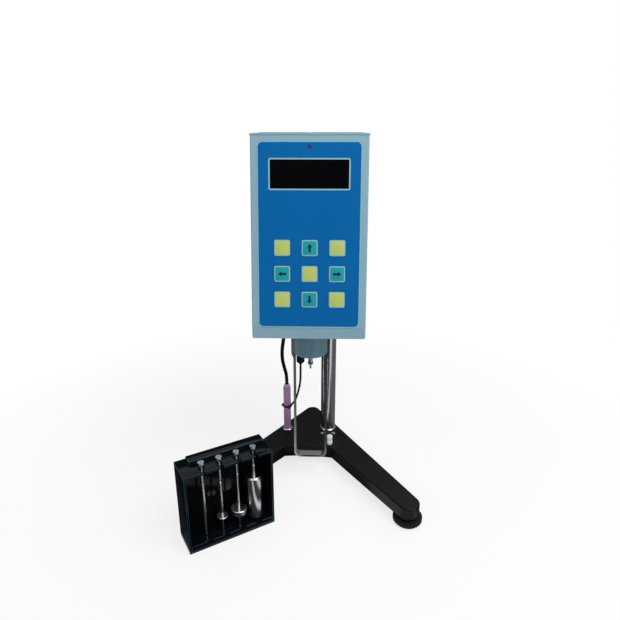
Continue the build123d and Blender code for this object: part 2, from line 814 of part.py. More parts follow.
def make_panel():
    panel = face_plate(panel_width, panel_height, panel_corner, 0, panel_thickness, 0, panel_centre)
    panel -= face_plate(window_width + 2 * seat_gap, window_height + 2 * seat_gap, window_corner,
                        -1, panel_thickness + 1, 0, window_centre)
    panel -= on_face(0, led_centre, 0) * Cylinder(led_radius + seat_gap, 4)
    side = key_size + 2 * key_gap
    for column in key_columns:
        for row in key_rows:
            x = key_column_x + column * key_pitch_x
            up = key_row_centre + row * key_pitch_y
            panel -= face_plate(side, side, key_corner + key_gap, -1, panel_thickness + 1, x, up)
            key = face_plate(key_size, key_size, key_corner, key_lift, key_lift + key_thickness, x, up)
            stem_end = key_lift + key_thickness / 2
            stem_start = dome_height - board_depth + key_lift
            stem = Cylinder(key_stem_radius, stem_end - stem_start)
            stem = on_face(x, up, (stem_start + stem_end) / 2) * stem
            keep("key_" + key_names[row] + "_" + key_sides[column], key + stem)
    keep("panel_membrane", panel)

    window = face_plate(window_width, window_height, window_corner, -wall, panel_thickness + 0.1,
                        0, window_centre)
    keep("display_window", window)
    led = on_face(0, led_centre, (led_proud + panel_thickness - wall) / 2) * Cylinder(
        led_radius, wall + led_proud + panel_thickness)
    keep("status_led", led)


def make_front_board():
    board_top = -board_depth
    board = face_plate(board_width, board_height, 2.0, board_top - board_thickness, board_top,
                       0, board_centre)
    for column in key_columns:
        for row in key_rows:
            place = on_face(key_column_x + column * key_pitch_x, key_row_centre + row * key_pitch_y,
                            board_top + dome_height / 2)
            board += place * Cylinder(dome_radius, dome_height)
    board += on_face(0, led_centre, (board_top - wall) / 2) * Cylinder(led_radius, board_depth - wall)
    for x in (-1, 1):
        for up in (-1, 1):
            place = on_face(x * (board_width / 2 - board_post_inset),
                            board_centre + up * (board_height / 2 - board_post_inset),
                            (board_top - wall - seat_gap) / 2)
            board += place * Cylinder(board_post_radius, board_depth - wall - seat_gap)
    board += face_plate(window_width - 4, window_height + 4, 1.0, board_top, -wall - seat_gap,
                        0, window_centre)
    keep("front_board", board)


# ---- pivot cup, guard and measuring train ----
def make_cup():
    cup = rod_z(cup_radius, cup_bottom, head_bottom)
    cup = fillet(cup.edges().group_by(Axis.Z)[0], cup_edge_radius)
    for side in (-1, 1):
        outer = side * (cup_radius + 5)
        cup -= slab((min(side * cup_flat_x, outer), -cup_radius, guard_jog_top),
                    (max(side * cup_flat_x, outer), cup_radius, guard_top + 1))
        inner = side * (cup_radius - cup_wall - 1)
        for z in guard_screw_heights:
            cup -= rod_x(screw_core_radius, min(inner, outer), max(inner, outer), 0, z)
    cup -= rod_z(cup_radius - cup_wall, cup_bottom + cup_wall, head_bottom + 1)
    cup -= rod_z(cup_mouth_radius, cup_bottom - 1, head_bottom)
    cup -= rod_z(1.6, cup_bottom - 1, cup_bottom + cup_wall + 1, plug_x, plug_y)
    keep("pivot_cup", cup)

    jewel_low = cup_bottom + cup_wall
    jewel = ring_z(jewel_radius, shaft_radius + running_gap, jewel_low, jewel_low + jewel_height)
    keep("jewel_bearing", jewel)


def edges_at(shape, x, z):
    """Edges along Y at one place in the XZ plane."""
    found = shape.edges().filter_by(Axis.Y)
    return [e for e in found if abs(e.center().X - x) < 0.01 and abs(e.center().Z - z) < 0.01]


def make_guard():
    outer_x = cup_flat_x + guard_thickness
    inner_low = guard_half_gap
    jog_low = guard_jog_top - guard_jog_height
    outer_low = inner_low + guard_thickness
    underside = guard_floor - guard_thickness
    inside = [(0, guard_floor), (inner_low, guard_floor), (inner_low, jog_low),
              (cup_flat_x, guard_jog_top), (cup_flat_x, guard_top)]
    outside = [(outer_x, guard_top), (outer_x, guard_jog_top - guard_jog_lag),
               (outer_low, jog_low - guard_jog_lag), (outer_low, underside), (0, underside)]
    face = make_face(Polyline(*[(x, 0, z) for x, z in inside + outside], close=True))
    leg = extrude(face, guard_width / 2, dir=(0, 1, 0), both=True)
    leg = fillet(edges_at(leg, inner_low, guard_floor), guard_corner)
    leg = fillet(edges_at(leg, outer_low, underside), guard_corner + guard_thickness)
    for z in guard_screw_heights:
        leg -= rod_x(guard_hole_radius, cup_flat_x - 1, outer_x + 1, 0, z)
    keep("spindle_guard", leg + mirror(leg, about=Plane.YZ))


def make_screws():
    screws = []
    outer_x = cup_flat_x + guard_thickness
    for z in guard_screw_heights:
        head = rod_x(guard_screw_radius, outer_x, outer_x + screw_head_height, 0, z)
        shank = rod_x(screw_core_radius - running_gap, cup_radius - cup_wall, outer_x, 0, z)
        screws.append(head + shank)
        screws.append(mirror(head + shank, about=Plane.YZ))
    for x, z in cover_screw_places():
        head = rod_y(guard_screw_radius, head_back, head_back + screw_head_height, x, z)
        shank = rod_y(screw_core_radius - running_gap, head_back - 2 * wall, head_back, x, z)
        screws.append(head + shank)
    keep("head_screws", joined(screws))


def slotted_disc(z, hub_radius, inner):
    disc = ring_z(disc_radius, inner, z - disc_thickness / 2, z + disc_thickness / 2)
    for i in range(disc_slots):
        angle = 360 * i / disc_slots
        disc -= Rot(0, 0, angle) * Pos(disc_radius - 3.0, 0, z) * Box(3.6, 1.2, disc_thickness + 1)
    return disc + ring_z(hub_radius, inner, z - 2.0, z + 2.0)


def make_measuring_train():
    nut_top = coupling_bottom + coupling_height
    thread = rod_z(thread_radius, thread_bottom, coupling_bottom)
    thread = chamfer(thread.edges().group_by(Axis.Z)[0], 0.4)
    nut_height = coupling_height * nut_share
    nut = extrude(RegularPolygon(coupling_radius, 6), nut_height)
    nut = Pos(0, 0, coupling_bottom) * nut
    collar = rod_z(coupling_radius * 0.8, coupling_bottom + nut_height, nut_top)
    shaft = rod_z(shaft_radius, nut_top, shaft_top) + slotted_disc(torque_disc_z, 5.0, shaft_radius - 0.5)
    shaft += rod_z(spring_inner, spring_z - spring_height / 2, spring_z + spring_height)
    keep("spindle_coupling", thread + nut + collar + shaft)

    drive = rod_z(drive_shaft_radius, drive_shaft_bottom, drive_shaft_top)
    drive -= rod_z(shaft_radius + running_gap, drive_shaft_bottom - 1, shaft_top + slide_gap)
    gear = extrude(gear_face(gear_module, gear_teeth, gear_backlash, 0.0), gear_thickness)
    drive += Pos(0, 0, gear_bottom) * gear
    drive += slotted_disc(drive_disc_z, 6.0, drive_shaft_radius - 0.5)
    disc_low = drive_disc_z - disc_thickness / 2
    end_x = spring_end_x()
    arm = slab((end_x - spring_strip, -2 * spring_strip, spring_z - spring_height / 2),
               (end_x + 2 * spring_strip, 0, disc_low))
    keep("drive_gear", drive + arm)

    motor_face = gear_face(gear_module, motor_teeth, gear_backlash, pi + pi / motor_teeth)
    motor_gear = extrude(motor_face, gear_thickness)
    hub = rod_z(4.0, gear_thickness, gear_thickness + 3)
    rotor = rod_z(motor_shaft_radius, 0, chassis_high + chassis_thickness + 4 - gear_bottom)
    keep("motor_pinion", Pos(gear_distance, 0, gear_bottom) * (motor_gear + hub + rotor))


def spring_turn_radius(i):
    return spring_inner + slide_gap + spring_strip / 2 + spring_pitch * (i / 2 + 0.25)


def spring_end_x():
    return spring_turn_radius(spring_half_turns - 1) + spring_pitch / 4


def make_hairspring():
    """Flat spiral of half rings, their centres stepping from side to side."""
    spiral = None
    step = spring_pitch / 4
    for i in range(spring_half_turns):
        side = 1 if i % 2 == 0 else -1
        radius = spring_turn_radius(i)
        half_ring = ring_z(radius + spring_strip / 2, radius - spring_strip / 2,
                           spring_z - spring_height / 2, spring_z + spring_height / 2, side * step, 0)
        half_ring &= slab((-50, 0 if side > 0 else -50, 0), (50, 50 if side > 0 else 0, 600))
        spiral = half_ring if spiral is None else spiral + half_ring
    keep("hairspring", spiral)


def make_chassis():
    low_top = chassis_low + chassis_thickness
    frame = slab((-chassis_half_x, -chassis_half_y, chassis_low),
                 (chassis_half_x, chassis_half_y, low_top))
    frame += slab((-chassis_half_x, -chassis_half_y, chassis_high),
                  (chassis_half_x, chassis_half_y, chassis_high + chassis_thickness))
    for x in (-1, 1):
        for y in (-1, 1):
            across = x * (chassis_half_x - chassis_post_radius - 1)
            along = y * (chassis_half_y - chassis_post_radius - 1)
            frame += rod_z(chassis_post_radius, head_bottom + plate_thickness, chassis_high, across, along)
    frame -= rod_z(drive_shaft_radius + running_gap, chassis_low - 1, chassis_high + chassis_thickness + 1)
    frame -= rod_z(motor_shaft_radius + 2.5, chassis_high - 1, chassis_high + chassis_thickness + 1,
                   gear_distance, 0)
    keep("chassis_frame", frame)

    motor_low = chassis_high + chassis_thickness
    motor = slab((gear_distance - motor_side / 2, -motor_side / 2, motor_low),
                 (gear_distance + motor_side / 2, motor_side / 2, motor_low + motor_height))
    motor = chamfer(motor.edges().filter_by(Axis.Z), 4.0)
    motor -= rod_z(motor_shaft_radius + running_gap, motor_low - 1, motor_low + 5, gear_distance, 0)
    keep("stepper_motor", motor)

    reach = disc_radius - 4.5
    sensor = slab((-disc_radius - 10, -5, torque_disc_z - 7), (-reach, 5, chassis_low))
    for z in (torque_disc_z, drive_disc_z):
        sensor -= slab((-disc_radius - 2, -6, z - 2.6), (-reach + 1, 6, z + 2.6))
    sensor -= slab((-reach - 4, -6, torque_disc_z + 2.6), (-reach + 1, 6, drive_disc_z - 2.6))
    keep("opto_sensor", sensor)


def make_rear_fittings():
    board_y = head_back - wall - board_standoff
    board = slab((-main_board_half, board_y - board_thickness, main_board_low),
                 (main_board_half, board_y, main_board_high))
    board -= rod_y(rod_flange_radius + 2, board_y - 10, board_y + 10, 0, rod_height)
    blocks = [(rod_height, block) for block in rod_blocks] + [(main_board_high, top_block)]
    for level, (x, up, width, height, depth) in blocks:
        board += slab((x, board_y - board_thickness - depth, level + up),
                      (x + width, board_y - board_thickness, level + up + height))
    for x in (-1, 1):
        for z in (main_board_low + 5, main_board_high - 5):
            board += rod_y(3.0, board_y, head_back - wall, x * (main_board_half - 5), z)
    keep("main_board", board)

    module_low = inlet_z - inlet_height / 2 - 2
    module_high = inlet_z + rocker_rise + rocker_height / 2 + 2
    middle_z = (module_low + module_high) / 2
    body = slab((inlet_x - inlet_width / 2, head_back - inlet_depth, module_low),
                (inlet_x + inlet_width / 2, head_back, module_high))
    rim = inlet_flange_rim
    flange_half = (module_high - module_low) / 2 + rim
    flange_side = inlet_width / 2 + rim
    flange = slab((inlet_x - flange_side, head_back, middle_z - flange_half),
                  (inlet_x + flange_side, head_back + inlet_flange_thickness, middle_z + flange_half))
    module = body + flange
    face_y = head_back + inlet_flange_thickness
    module -= slab((inlet_x - socket_width / 2, face_y - socket_depth, inlet_z - socket_height / 2),
                   (inlet_x + socket_width / 2, face_y + 1, inlet_z + socket_height / 2))
    for dx, dz in ((-7, 1), (7, 1), (0, 5)):
        module += slab((inlet_x + dx - 1, face_y - socket_depth - 1, inlet_z + dz - 2),
                       (inlet_x + dx + 1, face_y - 4, inlet_z + dz + 2))
    rocker_z = inlet_z + rocker_rise
    well_x = rocker_width / 2 + 0.5
    well_z = rocker_height / 2 + 0.6
    module -= slab((inlet_x - well_x, face_y - rocker_well, rocker_z - well_z),
                   (inlet_x + well_x, face_y + 1, rocker_z + well_z))
    pivot_y = face_y - rocker_pivot_depth
    pin_half = rocker_width / 2 + 2.5
    pivot_bore = rocker_pin_radius + running_gap
    module -= rod_x(pivot_bore, inlet_x - pin_half, inlet_x + pin_half, pivot_y, rocker_z)
    keep("power_inlet", module)

    half_h = rocker_height / 2 - 0.5
    profile = [(-rocker_pivot_depth + 0.2, 0), (-2.5, -half_h), (rocker_pivot_depth - 0.6, -half_h),
               (rocker_pivot_depth + 0.4, 0), (rocker_pivot_depth - 0.6, half_h), (-2.5, half_h)]
    face = make_face(Polyline(*[(0, y, z) for y, z in profile], close=True))
    rocker = extrude(face, rocker_width / 2, dir=(1, 0, 0), both=True)
    rocker += rod_x(rocker_pin_radius, -rocker_width / 2 - 2, rocker_width / 2 + 2, 0, 0)
    keep("power_rocker", Pos(inlet_x, pivot_y, rocker_z) * Rot(-rocker_tilt, 0, 0) * rocker)


def make_level_and_glands():
    vial = rod_z(level_radius, head_top - 5, head_top, 0, level_y)
    keep("bubble_level", vial)

    gland = rod_z(gland_radius, head_bottom - gland_drop * 0.45, head_bottom, gland_x, gland_y)
    sleeve = rod_z(gland_radius * 0.62, head_bottom - gland_drop, head_bottom - gland_drop * 0.45,
                   gland_x, gland_y)
    core = rod_z(gland_core_radius, head_bottom, head_bottom + plate_thickness + 3, gland_x, gland_y)
    keep("lead_gland", gland + sleeve + core)

    plug_low = cup_bottom - plug_drop + plug_tail_height
    plug = rod_z(plug_radius, plug_low, cup_bottom, plug_x, plug_y)
    plug = fillet(plug.edges().group_by(Axis.Z)[0], (plug_radius - plug_tail_radius) * 0.6)
    tail = rod_z(plug_tail_radius, cup_bottom - plug_drop, plug_low, plug_x, plug_y)
    pin = rod_z(1.5, cup_bottom, cup_bottom + cup_wall, plug_x, plug_y)
    keep("sensor_plug", plug + tail + pin)


# ---- spindle case and spindles ----
def in_case(across, deep, z):
    return Pos(case_x, case_y, 0) * Rot(0, 0, case_turn) * Pos(across, deep, z)


def spindle_places():
    return [spindle_first + i * spindle_pitch for i in range(4)]


def make_case():
    shelf_low = case_height - shelf_thickness
    box = slab((0, 0, 0), (case_width, case_depth, shelf_low))
    box -= slab((case_wall, -1, case_floor),
                (case_width - case_wall, case_depth - case_wall, shelf_low + 1))
    for across in spindle_places():
        box -= rod_z(groove_half_width, case_floor - groove_depth, case_floor + 1, across, spindle_depth)
        box -= slab((across - groove_half_width, -1, case_floor - groove_depth),
                    (across + groove_half_width, spindle_depth, case_floor + 1))
    keep("spindle_case", in_case(0, 0, 0) * box)

    shelf = slab((0, 0, shelf_low), (case_width, case_depth, case_height))
    ledge = slab((ledge_left, ledge_front, case_height),
                 (case_width - ledge_right, case_depth - ledge_back, case_height + ledge_height))
    ledge = chamfer(ledge.edges().filter_by(Axis.Z), 1.5)
    shelf += ledge
    slot_half = stem_radius + slot_gap
    for across in spindle_places():
        shelf -= slab((across - slot_half, -1, shelf_low - 1),
                      (across + slot_half, spindle_depth, case_height + 1))
        shelf -= rod_z(slot_half, shelf_low - 1, case_height + 1, across, spindle_depth)
    keep("case_shelf", in_case(0, 0, 0) * shelf)


def spindle_head():
    low = spindle_top - spindle_head_height
    head = rod_z(spindle_head_radius, low, spindle_top)
    return chamfer(head.edges(), 0.5)


def make_spindles():
    stem_end = case_floor - groove_depth + spindle_rest_gap
    bodies = []

    taper = Pos(0, 0, cylinder_top - cylinder_length - cylinder_cone / 2) * Rot(180, 0, 0) * Cone(
        cylinder_radius, cylinder_radius * 0.45, cylinder_cone)
    cylinder = rod_z(cylinder_radius, cylinder_top - cylinder_length, cylinder_top)
    shoulder = Pos(0, 0, cylinder_top + 0.75) * Cone(cylinder_radius, cylinder_radius * 0.8, 1.5)
    bodies.append(rod_z(stem_radius, cylinder_top, spindle_top - 1) + cylinder + taper + shoulder)

    bodies.append(rod_z(stem_radius, stem_end, spindle_top - 1)
                  + rod_z(large_disc_radius, large_disc_z - large_disc_height / 2,
                          large_disc_z + large_disc_height / 2))
    bodies.append(rod_z(stem_radius, stem_end, spindle_top - 1)
                  + rod_z(small_disc_radius, small_disc_z - small_disc_height / 2,
                          small_disc_z + small_disc_height / 2))
    thick_top = case_height - shelf_thickness - 4
    bodies.append(rod_z(stem_radius, stem_end, spindle_top - 1)
                  + rod_z(rod_spindle_radius, stem_end + rod_spindle_tip, thick_top))
    for number, across, body in zip((1, 2, 3, 4), reversed(spindle_places()), bodies):
        keep("spindle_" + str(number), in_case(across, spindle_depth, 0) * (body + spindle_head()))


# ---- everything, moved so that the origin is the middle of its footprint ----
make_base()
make_feet()
make_column()
make_post()
make_probe()
make_leads()
make_clamp()
make_housing()
make_panel()
make_front_board()
make_cup()
make_guard()
make_screws()
make_measuring_train()
make_hairspring()
make_chassis()
make_rear_fittings()
make_level_and_glands()
make_case()
make_spindles()

boxes = [shape.bounding_box() for shape in parts.values()]
low_x = min(b.min.X for b in boxes)
high_x = max(b.max.X for b in boxes)
low_y = min(b.min.Y for b in boxes)
high_y = max(b.max.Y for b in boxes)
shift = Pos(-(low_x + high_x) / 2, -(low_y + high_y) / 2, 0)
os.makedirs("parts", exist_ok=True)
for name, shape in parts.items():
    export_step(shift * shape, "parts/" + name + ".step")
print("pieces", len(parts))
print("shift", -(low_x + high_x) / 2, -(low_y + high_y) / 2)
print("lowest", min(b.min.Z for b in boxes), "highest", max(b.max.Z for b in boxes))
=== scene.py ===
import math

import bpy
from mathutils import Matrix, Vector


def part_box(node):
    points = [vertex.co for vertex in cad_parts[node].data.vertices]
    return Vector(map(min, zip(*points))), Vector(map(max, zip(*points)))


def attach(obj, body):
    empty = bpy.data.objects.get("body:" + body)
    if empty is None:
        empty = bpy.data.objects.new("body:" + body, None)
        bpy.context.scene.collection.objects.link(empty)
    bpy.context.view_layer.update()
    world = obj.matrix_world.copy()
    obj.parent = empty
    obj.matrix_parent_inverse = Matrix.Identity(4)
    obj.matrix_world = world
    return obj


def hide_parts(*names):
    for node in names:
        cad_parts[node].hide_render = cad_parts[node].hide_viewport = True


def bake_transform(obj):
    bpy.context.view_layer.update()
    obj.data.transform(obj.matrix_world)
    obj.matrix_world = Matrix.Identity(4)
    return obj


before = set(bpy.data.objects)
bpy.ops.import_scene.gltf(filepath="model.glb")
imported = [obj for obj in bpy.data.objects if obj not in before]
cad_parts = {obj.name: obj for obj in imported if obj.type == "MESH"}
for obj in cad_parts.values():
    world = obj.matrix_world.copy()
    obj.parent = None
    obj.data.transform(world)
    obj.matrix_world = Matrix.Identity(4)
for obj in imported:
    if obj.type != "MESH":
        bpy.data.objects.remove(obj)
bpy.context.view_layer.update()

mm = 0.001  # metres in a millimetre
cupLow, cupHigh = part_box("pivot_cup")
axisX = (cupLow.x + cupHigh.x) / 2  # the measuring axis
axisY = (cupLow.y + cupHigh.y) / 2


def at(x, y, z):
    # a point given in millimetres from the measuring axis and the bench
    return Vector((axisX + x * mm, axisY + y * mm, z * mm))


# camera
view = {"place": (15.45, -601.6, 454.06), "pitch": 70.48, "heading": 1.531, "lens": 30.55}
cameraData = bpy.data.cameras.new("benchCamera")
cameraData.lens = view["lens"]
cameraData.sensor_width = 36
cameraData.clip_start = 0.01
camera = bpy.data.objects.new("benchCamera", cameraData)
camera.location = at(*view["place"])
camera.rotation_euler = (math.radians(view["pitch"]), 0, math.radians(view["heading"]))
bpy.context.collection.objects.link(camera)
bpy.context.scene.camera = camera
print("camera set")


# materials
def linearOf(hexText):
    # sRGB hex to the linear colour that the shaders take
    channels = [int(hexText[i:i + 2], 16) / 255 for i in (1, 3, 5)]
    linear = [c / 12.92 if c <= 0.04045 else ((c + 0.055) / 1.055) ** 2.4 for c in channels]
    return (*linear, 1)


def addNode(tree, kind, settings, links=()):
    # one node with its settings, and links given as (output socket, input name)
    node = tree.nodes.new(kind)
    for key, value in settings.items():
        if isinstance(key, int) or key in node.inputs:
            node.inputs[key].default_value = value
        else:
            setattr(node, key, value)
    for source, target in links:
        tree.links.new(source, node.inputs[target])
    return node


def makeFinish(name, look):
    # colour drifts over patches, roughness and bump follow the grain
    material = bpy.data.materials.new(name)
    material.use_nodes = True
    tree = material.node_tree
    shader = tree.nodes["Principled BSDF"]
    shader.inputs["Metallic"].default_value = look.get("metallic", 0)
    for key, value in look.get("sockets", {}).items():
        shader.inputs[key].default_value = value
    coords = addNode(tree, "ShaderNodeTexCoord", {})
    stretch = look.get("stretch", (1, 1, 1))
    mapped = addNode(tree, "ShaderNodeMapping", {"Scale": stretch}, [(coords.outputs["Object"], "Vector")])
    patches = addNode(tree, "ShaderNodeTexNoise", {"Scale": 1000 / look.get("patchMm", 40), "Detail": 3},
                      [(coords.outputs["Object"], "Vector")])
    colours = addNode(tree, "ShaderNodeMix", {"data_type": "RGBA"}, [(patches.outputs["Fac"], 0)])
    colours.inputs[6].default_value = linearOf(look["colour"])
    colours.inputs[7].default_value = linearOf(look["shade"])
    tree.links.new(colours.outputs[2], shader.inputs["Base Color"])
    grain = addNode(tree, "ShaderNodeTexNoise", {"Scale": 1000 / look["grainMm"], "Detail": 4},
                    [(mapped.outputs["Vector"], "Vector")])
    smooth, rough = look["roughness"]
    spread = addNode(tree, "ShaderNodeMapRange", {"To Min": smooth, "To Max": rough},
                     [(grain.outputs["Fac"], "Value")])
    tree.links.new(spread.outputs["Result"], shader.inputs["Roughness"])
    relief = {"Strength": look.get("bump", 0.2), "Distance": look["depthMm"] * mm}
    bump = addNode(tree, "ShaderNodeBump", relief, [(grain.outputs["Fac"], "Height")])
    tree.links.new(bump.outputs["Normal"], shader.inputs["Normal"])
    return material


finishes = {
    # polyester powder coat on sheet metal, sprayed and baked: even, with a faint orange peel
    "powderCoatGrey": {"colour": "#84a6b5", "shade": "#7da0b0", "roughness": (0.36, 0.48), "grainMm": 0.9,
                       "depthMm": 0.02, "patchMm": 60, "sockets": {"Specular IOR Level": 0.4}},
    # the same coat on the turned cup, painted a darker blue grey as painted shade under the head
    "powderCoatCupShade": {"colour": "#648997", "shade": "#5c818f", "roughness": (0.3, 0.42), "grainMm": 0.8,
                      "depthMm": 0.02, "patchMm": 30, "sockets": {"Specular IOR Level": 0.35}},
    # polyester film printed on its back, with a fine matt texture that softens reflections
    "filmBlue": {"colour": "#0560a0", "shade": "#045b99", "roughness": (0.42, 0.5), "grainMm": 0.5,
                 "depthMm": 0.008, "patchMm": 50, "sockets": {"Specular IOR Level": 0.06}},
    # screen printed line of pale ink on the film
    "inkPale": {"colour": "#86b4c0", "shade": "#80aebb", "roughness": (0.42, 0.5), "grainMm": 0.4,
                "depthMm": 0.004, "sockets": {"Specular IOR Level": 0.1}},
    "inkLime": {"colour": "#b2c06c", "shade": "#abb966", "roughness": (0.42, 0.5), "grainMm": 0.5,
                "depthMm": 0.006, "sockets": {"Specular IOR Level": 0.1}},
    "inkTeal": {"colour": "#1f959b", "shade": "#1b8f95", "roughness": (0.42, 0.5), "grainMm": 0.5,
                "depthMm": 0.006, "sockets": {"Specular IOR Level": 0.1}},
    "inkNavy": {"colour": "#101a52", "shade": "#0e174a", "roughness": (0.4, 0.48), "grainMm": 0.4,
                "depthMm": 0.004, "sockets": {"Specular IOR Level": 0.1}},
    # cast acrylic window with a dark display behind it: polished, nearly black
    "acrylicWindow": {"colour": "#050507", "shade": "#08080c", "roughness": (0.06, 0.1), "grainMm": 6,
                      "depthMm": 0.002, "sockets": {"Specular IOR Level": 0.12}},
    # tinted lens of the lamp, moulded and glossy
    "lensPlum": {"colour": "#4a2c52", "shade": "#422649", "roughness": (0.12, 0.2), "grainMm": 2,
                "depthMm": 0.002, "sockets": {"IOR": 1.49}},
    # grey iron casting under black satin enamel: soft unevenness of the sand mould
    "enamelBlack": {"colour": "#07090b", "shade": "#0a0d12", "roughness": (0.3, 0.44), "grainMm": 1.6,
                    "depthMm": 0.05, "patchMm": 30, "bump": 0.25, "sockets": {"Specular IOR Level": 0.14}},
    # stainless bar, centreless ground and polished: mirror-like, with fine rings round the bar
    "steelGround": {"colour": "#c9ccce", "shade": "#bfc2c4", "metallic": 1, "roughness": (0.14, 0.24),
                    "grainMm": 0.6, "stretch": (0.15, 0.15, 1), "depthMm": 0.003},
    # stainless strip, rolled and polished along its length
    "steelStrip": {"colour": "#b9b8b4", "shade": "#a9a7a2", "metallic": 1, "roughness": (0.16, 0.3),
                   "grainMm": 0.5, "stretch": (1, 1, 0.08), "depthMm": 0.003},
    # stainless steel turned on a lathe and lapped
    "steelTurned": {"colour": "#c6c8ca", "shade": "#bcbfc1", "metallic": 1, "roughness": (0.16, 0.28),
                    "grainMm": 0.35, "stretch": (0.2, 0.2, 1), "depthMm": 0.003},
    # zinc plated screws and fittings
    "steelZinc": {"colour": "#aeb3b6", "shade": "#9fa5a8", "metallic": 1, "roughness": (0.28, 0.42),
                  "grainMm": 0.4, "depthMm": 0.006},
    # ABS knobs and housings, moulded in a spark eroded tool
    "absBlack": {"colour": "#0e0f11", "shade": "#121316", "roughness": (0.36, 0.5), "grainMm": 0.35,
                 "depthMm": 0.012, "sockets": {"Specular IOR Level": 0.18}},
    # cast acrylic sheet, black, flame polished: deep gloss
    "acrylicBlack": {"colour": "#06080a", "shade": "#081016", "roughness": (0.08, 0.16), "grainMm": 9,
                     "depthMm": 0.004, "patchMm": 60, "sockets": {"Specular IOR Level": 0.14}},
    # painted highlight: the broken edges of the same sheet, coloured a lighter teal to stand for their edge
    # highlights, and duller
    "acrylicEdgeHighlight": {"colour": "#1c4450", "shade": "#163640", "roughness": (0.22, 0.36), "grainMm": 0.6,
                    "depthMm": 0.006, "sockets": {"Specular IOR Level": 0.3}},
    # PVC lead sheath, extruded: satin black
    "pvcSheath": {"colour": "#08090b", "shade": "#0c0d10", "roughness": (0.34, 0.46), "grainMm": 0.5,
                  "depthMm": 0.006, "sockets": {"Specular IOR Level": 0.2}},
    # nitrile rubber pad and foot discs, moulded
    "rubberBlack": {"colour": "#08090a", "shade": "#0c0d0f", "roughness": (0.5, 0.65), "grainMm": 0.5,
                    "depthMm": 0.01, "sockets": {"Specular IOR Level": 0.15}},
    # nylon 66, turned: waxy white
    "nylonWhite": {"colour": "#e6eaea", "shade": "#dde3e4", "roughness": (0.38, 0.5), "grainMm": 0.6,
                   "depthMm": 0.006, "sockets": {"IOR": 1.53, "Subsurface Weight": 0.1,
                                                  "Subsurface Scale": 0.002}},
    # heat shrunk polyolefin tube in mauve
    "tubeMauve": {"colour": "#b78ab3", "shade": "#ae80aa", "roughness": (0.36, 0.48), "grainMm": 0.8,
                  "depthMm": 0.01, "patchMm": 12, "sockets": {"IOR": 1.5}},
    # pale blue grey moulded cap
    "capPale": {"colour": "#a9bcc6", "shade": "#9fb2bd", "roughness": (0.35, 0.46), "grainMm": 0.5,
                "depthMm": 0.006, "sockets": {"IOR": 1.5}},
    # dark purple nylon clip
    "nylonPurple": {"colour": "#33233f", "shade": "#2b1d36", "roughness": (0.34, 0.46), "grainMm": 0.4,
                    "depthMm": 0.006, "sockets": {"IOR": 1.53}},
    # free cutting brass, hobbed and turned
    "brassTurned": {"colour": "#c29d55", "shade": "#b48f4b", "metallic": 1, "roughness": (0.22, 0.34),
                    "grainMm": 0.4, "depthMm": 0.004},
    # rolled phosphor bronze strip
    "bronzeRolled": {"colour": "#b57f46", "shade": "#a6733d", "metallic": 1, "roughness": (0.2, 0.3),
                     "grainMm": 0.4, "depthMm": 0.003},
    # synthetic ruby, polished
    "rubyPolished": {"colour": "#9c1430", "shade": "#8a102a", "roughness": (0.04, 0.08), "grainMm": 2,
                     "depthMm": 0.001, "sockets": {"IOR": 1.77}},
    # milled and bead blasted aluminium plate
    "aluminiumBlasted": {"colour": "#b9bcbf", "shade": "#afb2b5", "metallic": 1, "roughness": (0.38, 0.5),
                         "grainMm": 0.3, "depthMm": 0.006},
    # glass epoxy board under green solder mask
    "boardGreen": {"colour": "#155a33", "shade": "#114d2b", "roughness": (0.3, 0.42), "grainMm": 0.5,
                   "depthMm": 0.01, "sockets": {"IOR": 1.55}},
    # tinted spirit in the level
    "spiritGreen": {"colour": "#b5cf4a", "shade": "#a9c440", "roughness": (0.08, 0.12), "grainMm": 4,
                    "depthMm": 0.001, "sockets": {"IOR": 1.36}},
    # black lacquer on the motor's laminations
    "lacquerBlack": {"colour": "#1b1c1f", "shade": "#232427", "roughness": (0.3, 0.44), "grainMm": 0.5,
                     "depthMm": 0.006},
}
finish = {name: makeFinish(name, look) for name, look in finishes.items()}

# acrylic vial of the level, clear, over the spirit
vialLook = {"glass": "#e8f2dc", "ior": 1.49, "roughness": 0.04}
vialGlass = bpy.data.materials.new("acrylicVial")
vialGlass.use_nodes = True
vialShader = vialGlass.node_tree.nodes["Principled BSDF"]
vialShader.inputs["Base Color"].default_value = linearOf(vialLook["glass"])
vialShader.inputs["IOR"].default_value = vialLook["ior"]
vialShader.inputs["Roughness"].default_value = vialLook["roughness"]
vialShader.inputs["Transmission Weight"].default_value = 1
print("materials made", len(finish) + 1)


# tools for modelling
def clearSelection():
    if bpy.context.mode != "OBJECT":
        bpy.ops.object.mode_set(mode="OBJECT")
    bpy.ops.object.select_all(action="DESELECT")


def pick(piece):
    clearSelection()
    piece.select_set(True)
    bpy.context.view_layer.objects.active = piece


def settle(piece, name, materials, body=None, angle=35):
    # names the piece, bakes its place into its mesh, gives it its finish and its body
    pick(piece)
    bpy.ops.object.transform_apply(location=True, rotation=True, scale=True)
    piece.name = name
    piece.data.name = name
    for material in materials if isinstance(materials, (list, tuple)) else [materials]:
        piece.data.materials.append(material)
    bpy.ops.object.shade_smooth_by_angle(angle=math.radians(angle))
    if body:
        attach(piece, body)
    return piece


def applyModifier(piece, kind, **settings):
    pick(piece)
    modifier = piece.modifiers.new(kind.lower(), kind)
    for key, value in settings.items():
        setattr(modifier, key, value)
    bpy.ops.object.modifier_apply(modifier=modifier.name)


def roundEdges(piece, width, segments=3, angle=30):
    applyModifier(piece, "BEVEL", width=width * mm, segments=segments, limit_method="ANGLE",
                  angle_limit=math.radians(angle), harden_normals=False)


